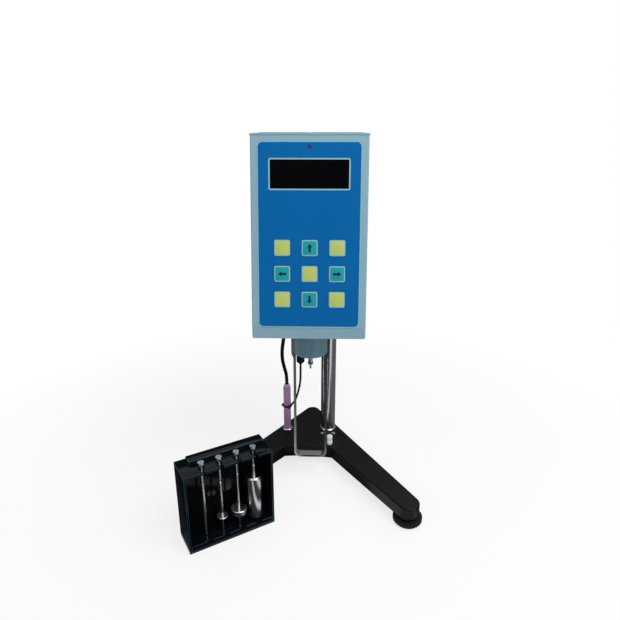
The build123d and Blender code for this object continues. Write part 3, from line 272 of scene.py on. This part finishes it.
def addBlock(low, high, edge=0.4, segments=3):
    # a box between two corners in millimetres, its edges broken
    clearSelection()
    bpy.ops.mesh.primitive_cube_add(size=1)
    block = bpy.context.object
    size = [(b - a) * mm for a, b in zip(low, high)]
    middle = [(a + b) / 2 * mm for a, b in zip(low, high)]
    block.dimensions = size
    block.location = middle
    bpy.ops.object.transform_apply(location=True, rotation=True, scale=True)
    if edge:
        roundEdges(block, edge, segments)
    return block


def addTurned(profile, sides=64):
    # a solid turned about Z: a disc raised and narrowed along (radius, height) in millimetres
    clearSelection()
    radius, height = profile[0]
    bpy.ops.mesh.primitive_circle_add(vertices=sides, radius=radius * mm, fill_type="NGON",
                                      location=(0, 0, height * mm))
    piece = bpy.context.object
    bpy.ops.object.transform_apply(location=True, rotation=True, scale=True)
    bpy.ops.object.mode_set(mode="EDIT")
    bpy.ops.mesh.select_all(action="SELECT")
    for (r0, z0), (r1, z1) in zip(profile, profile[1:]):
        bpy.ops.mesh.extrude_region_move(TRANSFORM_OT_translate={"value": (0, 0, (z1 - z0) * mm)})
        if abs(r1 - r0) > 1e-6:
            factor = r1 / r0
            bpy.ops.transform.resize(value=(factor, factor, 1), center_override=(0, 0, z1 * mm))
    bpy.ops.mesh.select_all(action="SELECT")
    bpy.ops.mesh.normals_make_consistent(inside=False)
    bpy.ops.object.mode_set(mode="OBJECT")
    return piece


def addOutline(points, close=True):
    # a chain of edges through points in millimetres, in the XY plane
    clearSelection()
    bpy.ops.mesh.primitive_plane_add(size=mm)
    piece = bpy.context.object
    bpy.ops.object.mode_set(mode="EDIT")
    bpy.ops.mesh.select_all(action="SELECT")
    bpy.ops.mesh.merge(type="CENTER")
    bpy.ops.mesh.select_all(action="SELECT")
    bpy.ops.transform.translate(value=(points[0][0] * mm, points[0][1] * mm, 0))
    for (x0, y0), (x1, y1) in zip(points, points[1:]):
        step = ((x1 - x0) * mm, (y1 - y0) * mm, 0)
        bpy.ops.mesh.extrude_region_move(TRANSFORM_OT_translate={"value": step})
    bpy.ops.mesh.select_all(action="SELECT")
    if close:
        bpy.ops.mesh.edge_face_add()
    bpy.ops.object.mode_set(mode="OBJECT")
    return piece


def raiseFaces(piece, height):
    # lifts every face of a flat piece by a height in millimetres, as a solid
    pick(piece)
    bpy.ops.object.mode_set(mode="EDIT")
    bpy.ops.mesh.select_all(action="SELECT")
    bpy.ops.mesh.extrude_region_move(TRANSFORM_OT_translate={"value": (0, 0, height * mm)})
    bpy.ops.mesh.select_all(action="SELECT")
    bpy.ops.mesh.normals_make_consistent(inside=False)
    bpy.ops.object.mode_set(mode="OBJECT")
    return piece


def addSheet(width, height, corner, steps=8):
    # a flat sheet with round corners, in the XY plane
    clearSelection()
    bpy.ops.mesh.primitive_plane_add(size=1)
    piece = bpy.context.object
    piece.scale = (width * mm, height * mm, 1)
    bpy.ops.object.transform_apply(location=False, rotation=False, scale=True)
    bpy.ops.object.mode_set(mode="EDIT")
    bpy.ops.mesh.select_all(action="SELECT")
    bpy.ops.mesh.bevel(offset=corner * mm, segments=steps, affect="VERTICES")
    bpy.ops.object.mode_set(mode="OBJECT")
    return piece


def addFrame(width, height, corner, line, thickness, steps=8):
    # a thin raised frame: a round cornered sheet, inset, with its middle taken out
    piece = addSheet(width, height, corner, steps)
    bpy.ops.object.mode_set(mode="EDIT")
    bpy.ops.mesh.select_all(action="SELECT")
    bpy.ops.mesh.inset(thickness=line * mm)
    bpy.ops.mesh.delete(type="FACE")
    bpy.ops.object.mode_set(mode="OBJECT")
    return raiseFaces(piece, thickness)


def joinPieces(pieces):
    pick(pieces[0])
    for piece in pieces:
        piece.select_set(True)
    bpy.ops.object.join()
    return bpy.context.object


def cutWith(piece, cutter):
    # takes the cutter's shape out of the piece
    pick(piece)
    modifier = piece.modifiers.new("cut", "BOOLEAN")
    modifier.operation = "DIFFERENCE"
    modifier.solver = "EXACT"
    modifier.object = cutter
    bpy.ops.object.modifier_apply(modifier=modifier.name)
    bpy.data.objects.remove(cutter, do_unlink=True)
    return piece


# slanted face of the head
face = {"bottomY": -76.3, "topY": -39.8, "bottomZ": 248.8, "topZ": 444.5, "filmThickness": 0.6}
faceRise = face["topZ"] - face["bottomZ"]
faceRun = face["topY"] - face["bottomY"]
faceLean = math.atan2(faceRun, faceRise)
faceMiddle = at(0, (face["bottomY"] + face["topY"]) / 2, (face["bottomZ"] + face["topZ"]) / 2)
faceFrame = Matrix.Translation(faceMiddle) @ Matrix.Rotation(math.pi / 2 - faceLean, 4, "X")


def onFace(piece, x, up, out, turn=0):
    # sets a flat piece on the slanted face, its Z pointing out of the face
    piece.matrix_world = (faceFrame @ Matrix.Translation((x * mm, up * mm, out * mm))
                          @ Matrix.Rotation(turn, 4, "Z") @ piece.matrix_world)
    return piece


def inFrame(piece, place, turn=0, axis="Z"):
    piece.matrix_world = (Matrix.Translation(at(*place)) @ Matrix.Rotation(turn, 4, axis)
                          @ piece.matrix_world)
    return piece


# cords
leads = {
    "probeLead": {"node": "probe_lead", "diameter": 4.8, "length": 0.1401, "points": [
        (-32.2, 27.0, 224.9), (-32.2, 27.0, 209.0), (-36.2, 30.3, 188.5), (-39.2, 40.5, 168.0),
        (-39.9, 54.0, 148.0), (-38.2, 65.0, 131.0), (-35.9, 75.6, 114.5), (-35.9, 75.6, 98.0)],
        "gives": (206, 118)},
    "sensorLead": {"node": "sensor_lead", "diameter": 2.6, "length": 0.1292, "points": [
        (-12.3, -5.0, 171.2), (-12.3, -5.0, 158.0), (-12.9, -1.5, 143.5), (-15.3, 11.0, 127.8),
        (-18.2, 26.0, 110.8), (-21.3, 41.0, 96.0), (-24.0, 50.5, 86.9), (-26.92, 60.05, 77.66),
        (-30.46, 66.17, 70.59)],
        "gives": (158, 84)},
}
for leadName, lead in leads.items():
    curve = bpy.data.curves.new(leadName, "CURVE")
    curve.dimensions = "3D"
    spline = curve.splines.new("NURBS")
    spline.points.add(len(lead["points"]) - 1)
    for point, place in zip(spline.points, lead["points"]):
        point.co = (*at(*place), 1)
    spline.order_u = 3
    spline.use_endpoint_u = True
    spline.resolution_u = 16
    curve.resolution_u = 16
    guide = bpy.data.objects.new(leadName + "Guide", curve)
    bpy.context.collection.objects.link(guide)
    bpy.context.view_layer.update()
    line = bpy.data.meshes.new_from_object(guide)
    curve.bevel_depth = lead["diameter"] / 2 * mm
    curve.bevel_resolution = 7
    curve.use_fill_caps = True
    pick(guide)
    bpy.ops.object.convert(target="MESH")
    tube = settle(bpy.context.object, leadName, finish["pvcSheath"], angle=60)
    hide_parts(lead["node"])
    x, y, _ = lead["points"][0]
    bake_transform(tube)
print("cords laid")

# finishes of the solids that no piece below replaces
nodeFinish = {
    "powderCoatGrey": ["front_cover", "rear_cover", "clamp_block"],
    # the pivot cup takes the darker copy of the grey coat: painted shade
    "powderCoatCupShade": ["pivot_cup"],
    "filmBlue": ["panel_membrane"],
    "acrylicWindow": ["display_window"],
    "enamelBlack": ["base_casting"],
    "steelGround": ["column", "mounting_rod"],
    "steelStrip": ["spindle_guard"],
    "steelTurned": ["spindle_coupling", "column_rack", "probe_socket"],
    "steelZinc": ["motor_pinion"],
    "absBlack": ["lift_knob", "rod_knob", "power_inlet", "power_rocker", "opto_sensor"],
    "rubberBlack": ["foot_pad_right", "foot_pad_left", "foot_pad_rear"],
    "nylonPurple": ["probe_band"],
    "lensPlum": ["status_led"],
    "brassTurned": ["drive_gear"],
    "bronzeRolled": ["hairspring"],
    "rubyPolished": ["jewel_bearing"],
    "aluminiumBlasted": ["bottom_plate", "chassis_frame"],
    "boardGreen": ["front_board", "main_board"],
    "lacquerBlack": ["stepper_motor"],
}
for finishName, nodeNames in nodeFinish.items():
    for nodeName in nodeNames:
        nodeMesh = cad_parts[nodeName].data
        nodeMesh.materials.clear()
        nodeMesh.materials.append(finish[finishName])
print("solids finished")

# printed lines of the panel
panel = {"width": 105.6, "height": 190.4, "up": -4.0, "corner": 4.5, "line": 1.3,
         "lineHeight": 0.35, "windowWidth": 84.4, "windowHeight": 32.2, "windowUp": 59.4,
         "windowLine": 1.5, "windowCorner": 2.2, "windowLineHeight": 0.18}
edgeLine = addFrame(panel["width"] + 2 * panel["line"], panel["height"] + 2 * panel["line"],
                    panel["corner"] + panel["line"], panel["line"], panel["lineHeight"], 12)
onFace(edgeLine, 0, panel["up"], 0)
settle(edgeLine, "panelEdge", finish["inkPale"], "head")
windowFrame = addFrame(panel["windowWidth"], panel["windowHeight"], panel["windowCorner"],
                       panel["windowLine"], panel["windowLineHeight"], 10)
onFace(windowFrame, 0, panel["windowUp"], face["filmThickness"])
settle(windowFrame, "windowFrame", finish["inkPale"], "head")
print("panel printed")

# keys: each a thin dome with a pale rim and, on four of them, an arrow
keys = {"size": 16.8, "rim": 1.1, "corner": 2.0, "pitchX": 28.9, "pitchUp": 27.2, "x": 0.7, "up": -43.0,
        "low": 0.5, "thick": 0.8, "step": 0.3, "stepDrop": 0.12, "groove": 0.12, "grooveRise": 0.05,
        "arrowHeight": 0.06, "arrowUp": 0.93}
columnsOfKeys = {"left": -1, "centre": 0, "right": 1}
rowsOfKeys = {"top": 1, "middle": 0, "bottom": -1}
arrowTurns = {("top", "centre"): 0, ("middle", "left"): 90,
              ("bottom", "centre"): 180, ("middle", "right"): 270}
arrowOutline = [(-1.1, -4.3), (1.1, -4.3), (1.1, 0.7), (2.7, 0.6), (0, 4.4), (-2.7, 0.6), (-1.1, 0.7)]
for rowName, row in rowsOfKeys.items():
    for columnName, column in columnsOfKeys.items():
        turn = arrowTurns.get((rowName, columnName))
        key = raiseFaces(addSheet(keys["size"], keys["size"], keys["corner"]), keys["thick"])
        bpy.ops.object.mode_set(mode="EDIT")
        bpy.ops.mesh.select_all(action="DESELECT")
        bpy.ops.object.mode_set(mode="OBJECT")
        for polygon in key.data.polygons:
            polygon.select = polygon.normal.z > 0.9
        bpy.ops.object.mode_set(mode="EDIT")
        bpy.ops.mesh.inset(thickness=keys["step"] * mm, depth=keys["stepDrop"] * mm)
        bpy.ops.mesh.inset(thickness=(keys["rim"] - keys["step"]) * mm)
        bpy.ops.mesh.inset(thickness=keys["groove"] * mm, depth=keys["grooveRise"] * mm)
        bpy.ops.object.mode_set(mode="OBJECT")
        for ink in ("inkPale", "inkLime" if turn is None else "inkTeal", "inkNavy"):
            key.data.materials.append(finish[ink])
        top = max(key.data.polygons, key=lambda p: (p.center.z, p.area))
        top.material_index = 1
        if turn is not None:
            arrow = raiseFaces(addOutline(arrowOutline), keys["arrowHeight"])
            arrow.data.materials.append(finish["inkNavy"])
            arrow.matrix_world = (Matrix.Translation((0, 0, keys["arrowUp"] * mm))
                                  @ Matrix.Rotation(math.radians(turn), 4, "Z"))
            pick(arrow)
            bpy.ops.object.transform_apply()
            key = joinPieces([key, arrow])
        onFace(key, keys["x"] + column * keys["pitchX"], keys["up"] + row * keys["pitchUp"], keys["low"])
        nodeName = "key_" + rowName + "_" + columnName
        settle(key, "keyCap" + rowName.title() + columnName.title(), [], nodeName,
               30)
        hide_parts(nodeName)
print("keys printed")

# spindles: turned, with a groove where the sample's level comes
caseFrame = Matrix.Translation(at(-130.4, -143.3, 0)) @ Matrix.Rotation(math.radians(31.5), 4, "Z")
spindleRow = {"first": 23.6, "pitch": 20.5, "deep": 11.8}


def headProfile(stem=1.6):
    # the coupling end of a spindle, from its stem up
    return [(stem, 98.5), (1.9, 99.0), (2.2, 101.4), (2.2, 102.6), (3.9, 103.6), (3.9, 106.2),
            (3.5, 107.0), (1.3, 107.0), (1.3, 105.6)]


def grooved(stem, z):
    return [(stem, z - 0.9), (stem - 0.35, z - 0.5), (stem - 0.35, z + 0.5), (stem, z + 0.9)]


spindles = {
    1: [(1.0, 10.2), (1.4, 9.6), (4.3, 9.55), (9.1, 12.8), (9.42, 13.4), (9.42, 65.4), (9.1, 66.0),
        (7.6, 67.5), (2.0, 67.5)] + grooved(1.6, 82),
    2: [(1.1, 8.7), (1.6, 9.3), (1.6, 23.1), (8.9, 23.1), (9.36, 23.5), (9.36, 29.5), (8.9, 29.9),
        (1.6, 29.9)] + grooved(1.6, 78),
    3: [(1.1, 8.7), (1.6, 9.3), (1.6, 25.7), (6.1, 25.7), (6.35, 25.95), (6.35, 27.1), (6.1, 27.3),
        (1.6, 27.3)] + grooved(1.6, 74),
    4: [(1.1, 8.7), (1.6, 9.3), (1.6, 16.7), (2.1, 17.4), (2.1, 93.4), (1.6, 94)],
}
for number, profile in spindles.items():
    across = spindleRow["first"] + (4 - number) * spindleRow["pitch"]
    spindle = addTurned(profile + headProfile(), 48)
    spindle.matrix_world = caseFrame @ Matrix.Translation((across * mm, spindleRow["deep"] * mm, 0))
    nodeName = "spindle_" + str(number)
    settle(spindle, "turnedSpindle" + str(number), finish["steelTurned"], nodeName, 32)
    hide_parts(nodeName)
print("spindles turned")

# spindle case: black acrylic sheets cemented together, their broken edges coloured teal as a painted
# highlight
case = {"width": 105, "depth": 35.5, "sheetTop": 98, "top": 101, "wall": 2.5, "floor": 9,
        "grooveHalf": 4.0, "grooveDepth": 0.6, "slotHalf": 1.95}
ledge = {"low": (12.5, 20, 101), "high": (103, 33, 105.5), "edge": 0.8}
spindleSpots = [spindleRow["first"] + i * spindleRow["pitch"] for i in range(4)]


def addAcrylic(low, high, edge=0.45):
    # a sheet whose broken edges carry the painted teal edge highlight
    sheet = addBlock(low, high, 0)
    sheet.data.materials.append(finish["acrylicBlack"])
    sheet.data.materials.append(finish["acrylicEdgeHighlight"])
    applyModifier(sheet, "BEVEL", width=edge * mm, segments=2, limit_method="ANGLE", material=1)
    return sheet


def cutNotches(sheet, half, low, high):
    # one notch with a round end for each spindle, open to the front
    for across in spindleSpots:
        cutWith(sheet, addBlock((across - half, -1, low), (across + half, spindleRow["deep"], high), 0))
        disc = addTurned([(half, low), (half, high)], 32)
        disc.location = (across * mm, spindleRow["deep"] * mm, 0)
        cutWith(sheet, disc)
    return sheet


def settleInCase(sheets, name, nodeName):
    piece = joinPieces(sheets)
    piece.matrix_world = caseFrame @ piece.matrix_world
    settle(piece, name, [], "stand")
    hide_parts(nodeName)


wall, width, depth = case["wall"], case["width"], case["depth"]
inner, behind, sheetTop = width - wall, depth - wall, case["sheetTop"]
grooveLow = case["floor"] - case["grooveDepth"]
settleInCase([
    cutNotches(addAcrylic((wall, 0, 0), (inner, behind, case["floor"])), case["grooveHalf"],
               grooveLow, grooveLow + 5),
    addAcrylic((0, 0, 0), (wall, depth, sheetTop)),
    addAcrylic((inner, 0, 0), (width, depth, sheetTop)),
    addAcrylic((wall, behind, 0), (inner, depth, sheetTop))], "caseShell", "spindle_case")
settleInCase([
    cutNotches(addAcrylic((0, 0, sheetTop), (width, depth, case["top"])), case["slotHalf"],
               sheetTop - 1, sheetTop + 5),
    addAcrylic(ledge["low"], ledge["high"], ledge["edge"])], "caseShelf", "case_shelf")
print("case built")


def middleOf(nodeName):
    low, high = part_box(nodeName)
    return (low + high) / 2


def settleAbove(piece, nodeName, name, material, body, angle):
    # sets a piece on the upright axis through the middle of the node that it replaces
    middle = middleOf(nodeName)
    piece.location = (middle.x, middle.y, 0)
    settle(piece, name, material, body, angle)
    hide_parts(nodeName)


def addKnurled(radius, low, high, count, depth, edge):
    # a disc with flats cut round its rim, its upper and lower edges broken
    clearSelection()
    bpy.ops.mesh.primitive_circle_add(vertices=count * 4, radius=radius * mm, fill_type="NGON",
                                      location=(0, 0, low * mm))
    piece = bpy.context.object
    bpy.ops.object.transform_apply(location=True, rotation=True, scale=True)
    bpy.ops.object.mode_set(mode="EDIT")
    bpy.ops.mesh.select_mode(type="VERT")
    bpy.ops.mesh.select_all(action="DESELECT")
    bpy.ops.object.mode_set(mode="OBJECT")
    for vertex in piece.data.vertices:
        vertex.select = vertex.index % 4 < 2
    bpy.ops.object.mode_set(mode="EDIT")
    factor = (radius - depth) / radius
    bpy.ops.transform.resize(value=(factor, factor, 1), center_override=(0, 0, low * mm))
    bpy.ops.object.mode_set(mode="OBJECT")
    raiseFaces(piece, high - low)
    roundEdges(piece, edge, 2, 60)
    return piece


# levelling feet: knurled discs on their threaded studs
def threadOutline(low, high, crest, root, pitch=1.25):
    turns = int((high - low) / pitch)
    rungs = []
    for i in range(turns):
        z = low + i * pitch
        rungs += [(root, z + 0.15), (crest, z + 0.5), (crest, z + 0.75), (root, z + 1.1)]
    return rungs


foot = {"radius": 17.6, "low": 2.8, "high": 9.2, "knurls": 30, "knurl": 0.7, "edge": 0.5,
        "stud": 4.0, "threadRoot": 3.55, "studTop": 24.2, "pin": 3.0, "pinLow": 1.0}
for side in ("right", "left", "rear"):
    disc = addKnurled(foot["radius"], foot["low"], foot["high"], foot["knurls"], foot["knurl"],
                      foot["edge"])
    stud = addTurned([(foot["pin"], foot["pinLow"]), (foot["pin"], foot["low"]), (3.6, foot["low"] + 0.2)]
                     + threadOutline(foot["high"], foot["studTop"] - 1, foot["stud"], foot["threadRoot"])
                     + [(3.4, foot["studTop"])], 32)
    settleAbove(joinPieces([disc, stud]), "levelling_foot_" + side, "levelFoot" + side.title(),
                finish["rubberBlack"], "foot_" + side, 30)
print("feet knurled")

# small turned pieces round the base and under the head: node, finish, body, slot,
# smoothing angle and outline
smallTurnings = {
    "nylonPost": ("nylon_post", "nylonWhite", "stand", "white_nylon", 60, [
        (2.6, 27.8), (3.5, 28.3), (3.9, 29.8), (3.9, 33.2), (3.5, 34.5), (2.9, 35.2), (3.5, 35.9),
        (3.9, 37.2), (3.9, 40.6), (3.5, 42.0), (2.4, 42.6)]),
    "probeSleeve": ("probe_sleeve", "tubeMauve", "stand", "mauve", 60, [
        (4.7, 28.4), (5.25, 29.2), (5.25, 62.0), (5.1, 64.5), (5.1, 69.0), (5.25, 71.5), (5.25, 96.0),
        (4.8, 97.0)]),
    "probeCap": ("probe_cap", "capPale", "stand", "pale_cap", 60, [
        (4.0, 97.0), (4.3, 97.3), (4.3, 99.0), (4.0, 100.1), (3.3, 100.8), (2.5, 101.0)]),
    "sensorPlug": ("sensor_plug", "absBlack", "head", "black_plastic", 35, [
        (1.8, 171.2), (2.5, 171.9), (2.6, 173.0), (3.6, 173.3), (4.7, 174.2), (5.0, 175.2), (5.0, 176.3),
        (4.6, 176.5), (4.6, 176.9), (5.0, 177.1), (5.0, 178.2), (4.6, 178.4), (4.6, 178.8), (5.0, 179.0),
        (5.0, 184.2), (4.6, 184.7)]),
}
for pieceName, (nodeName, finishName, body, slot, angle, outline) in smallTurnings.items():
    piece = addTurned(outline, 48)
    settleAbove(piece, nodeName, pieceName, finish[finishName], body, angle)
glandNut = addTurned([(5.4, 230.4), (6.0, 231.0), (6.0, 234.3), (5.6, 234.9)], 6)
glandTail = addTurned([(2.7, 224.9), (2.9, 225.6), (2.6, 225.8), (3.1, 226.8), (2.8, 227.0), (3.4, 228.0),
                       (3.1, 228.2), (3.7, 229.2), (3.7, 230.9)], 40)
settleAbove(joinPieces([glandNut, glandTail]), "lead_gland", "leadGland", finish["absBlack"], "head",
            30)


# screws: pan heads with a cross recess
def addScrew(radius, height):
    screw = addTurned([(radius, 0), (radius, height * 0.55), (radius * 0.9, height * 0.82),
                       (radius * 0.65, height), (radius * 0.3, height)], 32)
    arm, halfSlot = radius * 0.62, radius * 0.13
    for half in ((arm, halfSlot), (halfSlot, arm)):
        cutWith(screw, addBlock((-half[0], -half[1], height * 0.45), (half[0], half[1], height + 1), 0))
    return screw


def settleScrews(screws, name, body, nodeName):
    piece = joinPieces(screws)
    settle(piece, name, finish["steelZinc"], body)
    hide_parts(nodeName)


headScrew = {"radius": 2.7, "height": 1.8, "guardX": 23.8, "guardHeights": (218.0, 206.0), "backX": 52.0,
             "backY": 46.0, "backHeights": (254.9, 432.5)}
screws = []
for z in headScrew["guardHeights"]:
    for side in (-1, 1):
        screws.append(inFrame(addScrew(headScrew["radius"], headScrew["height"]),
                              (side * headScrew["guardX"], 0, z), side * math.pi / 2, "Y"))
for x in (-headScrew["backX"], headScrew["backX"]):
    for z in headScrew["backHeights"]:
        screws.append(inFrame(addScrew(headScrew["radius"], headScrew["height"]),
                              (x, headScrew["backY"], z), -math.pi / 2, "X"))
settleScrews(screws, "headScrews", "head", "head_screws")

columnScrew = {"radius": 2.6, "height": 2.0, "x": (15.45, 31.95), "y": (62.1, 89.1), "base": 27.8}
settleScrews([inFrame(addScrew(columnScrew["radius"], columnScrew["height"]), (x, y, columnScrew["base"]))
              for x in columnScrew["x"] for y in columnScrew["y"]],
             "columnScrews", "stand", "column_screws")
print("screws set")

# mains inlet: line, neutral and earth blades in its socket
inlet = {"x": -28.0, "z": 262.0, "from": 34.0, "to": 44.5, "apart": 7.0, "rise": 3.0, "half": (0.9, 2.0),
         "edge": 0.3}
blades = []
for dx, dz in ((-inlet["apart"], -inlet["rise"] / 2), (inlet["apart"], -inlet["rise"] / 2),
               (0, inlet["rise"])):
    halfX, halfZ = inlet["half"]
    blade = addBlock((-halfX, 0, -halfZ), (halfX, inlet["to"] - inlet["from"], halfZ), inlet["edge"])
    blades.append(inFrame(blade, (inlet["x"] + dx, inlet["from"], inlet["z"] + dz)))
settle(joinPieces(blades), "inletBlades", finish["brassTurned"], "head")
print("inlet bladed")

# bubble level: bezel, spirit, bubble and a ring on a clear vial
levelMiddle = middleOf("bubble_level")
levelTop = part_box("bubble_level")[1].z / mm
bezel = addTurned([(8.0, levelTop - 5), (8.0, levelTop - 0.5), (7.5, levelTop), (6.3, levelTop),
                   (6.0, levelTop - 0.4), (6.0, levelTop - 3.4)], 64)
spirit = addTurned([(5.7, levelTop - 3.3), (5.7, levelTop - 1.4)], 48)
vial = addTurned([(5.9, levelTop - 1.3), (5.9, levelTop - 0.6), (4.6, levelTop - 0.25),
                  (2.4, levelTop - 0.12)], 48)
bubble = addTurned([(1.2, levelTop - 1.4), (1.9, levelTop - 1.35), (1.7, levelTop - 1.32)], 32)
mark = addFrame(5.2, 5.2, 2.59, 0.3, 0.05, 16)
mark.location = (0, 0, (levelTop - 0.24) * mm)
levelParts = [(bezel, "levelBezel", finish["steelZinc"]), (spirit, "levelSpirit", finish["spiritGreen"]),
              (vial, "levelVial", vialGlass), (bubble, "levelBubble", finish["inkPale"]),
              (mark, "levelMark", finish["inkNavy"])]
for part, partName, partFinish in levelParts:
    part.location = (levelMiddle.x, levelMiddle.y, part.location.z)
    settle(part, partName, partFinish, "head", 50)
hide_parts("bubble_level")
print("level set")

def seenByStraightRays(tree):
    # one where the camera looks straight, by a mirror or through glass, and nought for light
    rays = addNode(tree, "ShaderNodeLightPath", {})
    straight = addNode(tree, "ShaderNodeMath", {"operation": "MAXIMUM"},
                       [(rays.outputs["Is Camera Ray"], 0), (rays.outputs["Is Glossy Ray"], 1)])
    return addNode(tree, "ShaderNodeMath", {"operation": "MAXIMUM"},
                   [(straight.outputs[0], 0), (rays.outputs["Is Transmission Ray"], 1)])


# bench: white paper, lit near the object and running out into the white surroundings
bench = {"size": 8, "paper": 0.9, "fadeFrom": 0.25, "fadeTo": 0.6, "least": 0.75}
clearSelection()
bpy.ops.mesh.primitive_plane_add(size=bench["size"])
floor = bpy.context.object
floor.name = "benchTop"
paper = bpy.data.materials.new("paperWhite")
paper.use_nodes = True
paperTree = paper.node_tree
paperShader = paperTree.nodes["Principled BSDF"]
paperShader.inputs["Base Color"].default_value = (bench["paper"],) * 3 + (1,)
paperShader.inputs["Roughness"].default_value = 0.95
paperShader.inputs["Specular IOR Level"].default_value = 0
paperCoords = addNode(paperTree, "ShaderNodeTexCoord", {})
reach = addNode(paperTree, "ShaderNodeVectorMath", {"operation": "LENGTH"},
                [(paperCoords.outputs["Object"], 0)])
fade = addNode(paperTree, "ShaderNodeMapRange", {"From Min": bench["fadeFrom"], "From Max": bench["fadeTo"],
                                                  "To Min": bench["least"]},
               [(reach.outputs["Value"], "Value")])
seen = seenByStraightRays(paperTree)
share = addNode(paperTree, "ShaderNodeMath", {"operation": "MULTIPLY"},
                [(fade.outputs["Result"], 0), (seen.outputs[0], 1)])
glow = addNode(paperTree, "ShaderNodeEmission", {"Color": (1, 1, 1, 1), "Strength": 1})
blendOut = addNode(paperTree, "ShaderNodeMixShader", {}, [(share.outputs[0], 0)])
paperTree.links.new(paperShader.outputs[0], blendOut.inputs[1])
paperTree.links.new(glow.outputs[0], blendOut.inputs[2])
paperTree.links.new(blendOut.outputs[0], paperTree.nodes["Material Output"].inputs["Surface"])
floor.data.materials.append(paper)

# cards that only polished metal and gloss reflect, as a product studio sets them: grey levels
# by sector of ten degrees, counted from +X, and open gaps where the metal takes its bright streaks
cards = {"inner": 0.02, "outer": 2.2, "height": 1.7, "lift": 0.004, "sectors": 36}
cardTones = {"cardBlack": (0.02, [7, 8, 10, 11, 12, 14, 15, 18, 19, 20, 21]),
             "cardDark": (0.045, [9, 13, 17, 22, 23, 24, 26, 27, 28]),
             "cardGrey": (0.15, [0, 1, 2, 3, 4, 5, 6, 29, 33, 34, 35])}
clearSelection()
bpy.ops.mesh.primitive_circle_add(vertices=cards["sectors"], radius=cards["inner"],
                                  location=(0, 0, cards["lift"]))
ring = bpy.context.object
ring.name = "studioCards"
bpy.ops.object.mode_set(mode="EDIT")
bpy.ops.mesh.select_all(action="SELECT")
bpy.ops.mesh.extrude_region_move()
growth = cards["outer"] / cards["inner"]
bpy.ops.transform.resize(value=(growth, growth, 1), center_override=(0, 0, cards["lift"]))
bpy.ops.mesh.extrude_region_move(TRANSFORM_OT_translate={"value": (0, 0, cards["height"])})
bpy.ops.mesh.select_all(action="DESELECT")
bpy.ops.object.mode_set(mode="OBJECT")
for cardName, (tone, sectors) in cardTones.items():
    card = bpy.data.materials.new(cardName)
    card.use_nodes = True
    cardShader = card.node_tree.nodes["Principled BSDF"]
    cardShader.inputs["Base Color"].default_value = (0, 0, 0, 1)
    cardShader.inputs["Emission Color"].default_value = (tone, tone, tone * 1.05, 1)
    cardShader.inputs["Emission Strength"].default_value = 1
    cardShader.inputs["Specular IOR Level"].default_value = 0
    ring.data.materials.append(card)
for polygon in ring.data.polygons:
    heading = math.degrees(math.atan2(polygon.center.y, polygon.center.x)) % 360
    sector = int(heading // (360 / cards["sectors"]))
    tones = [i for i, (_, sectors) in enumerate(cardTones.values()) if sector in sectors]
    polygon.select = not tones
    polygon.material_index = tones[0] if tones else 0
bpy.ops.object.mode_set(mode="EDIT")
bpy.ops.mesh.delete(type="FACE")
bpy.ops.object.mode_set(mode="OBJECT")
ring.visible_camera = False
ring.visible_diffuse = False
ring.visible_shadow = False
ring.visible_transmission = False

# the room: plain white, a little brighter where it is seen than where it lights
world = bpy.data.worlds.new("studio")
bpy.context.scene.world = world
world.use_nodes = True
worldTree = world.node_tree
background = worldTree.nodes["Background"]
background.inputs["Color"].default_value = (1, 1, 1, 1)
background.inputs["Strength"].default_value = 0.44
skyBright = addNode(worldTree, "ShaderNodeBackground", {"Color": (1, 1, 1, 1), "Strength": 1})
skySeen = seenByStraightRays(worldTree)
skyMix = addNode(worldTree, "ShaderNodeMixShader", {}, [(skySeen.outputs[0], 0)])
worldTree.links.new(background.outputs[0], skyMix.inputs[1])
worldTree.links.new(skyBright.outputs[0], skyMix.inputs[2])
worldTree.links.new(skyMix.outputs[0], worldTree.nodes["World Output"].inputs["Surface"])

lamps = {
    "keyLamp": {"place": (500, -500, 1100), "size": 0.8, "watts": 9},
    "fillLamp": {"place": (-700, -500, 800), "size": 0.9, "watts": 1.6},
    "rearLamp": {"place": (700, 700, 900), "size": 0.9, "watts": 1.5},
}
for lampName, lamp in lamps.items():
    lampData = bpy.data.lights.new(lampName, "AREA")
    lampData.size = lamp["size"]
    lampData.energy = lamp["watts"]
    lampObject = bpy.data.objects.new(lampName, lampData)
    lampObject.location = at(*lamp["place"])
    aim = at(0, 0, 200) - lampObject.location
    lampObject.rotation_euler = aim.to_track_quat("-Z", "Y").to_euler()
    bpy.context.collection.objects.link(lampObject)
bpy.context.scene.view_settings.view_transform = "Standard"
print("stage and lamps set")

clearSelection()
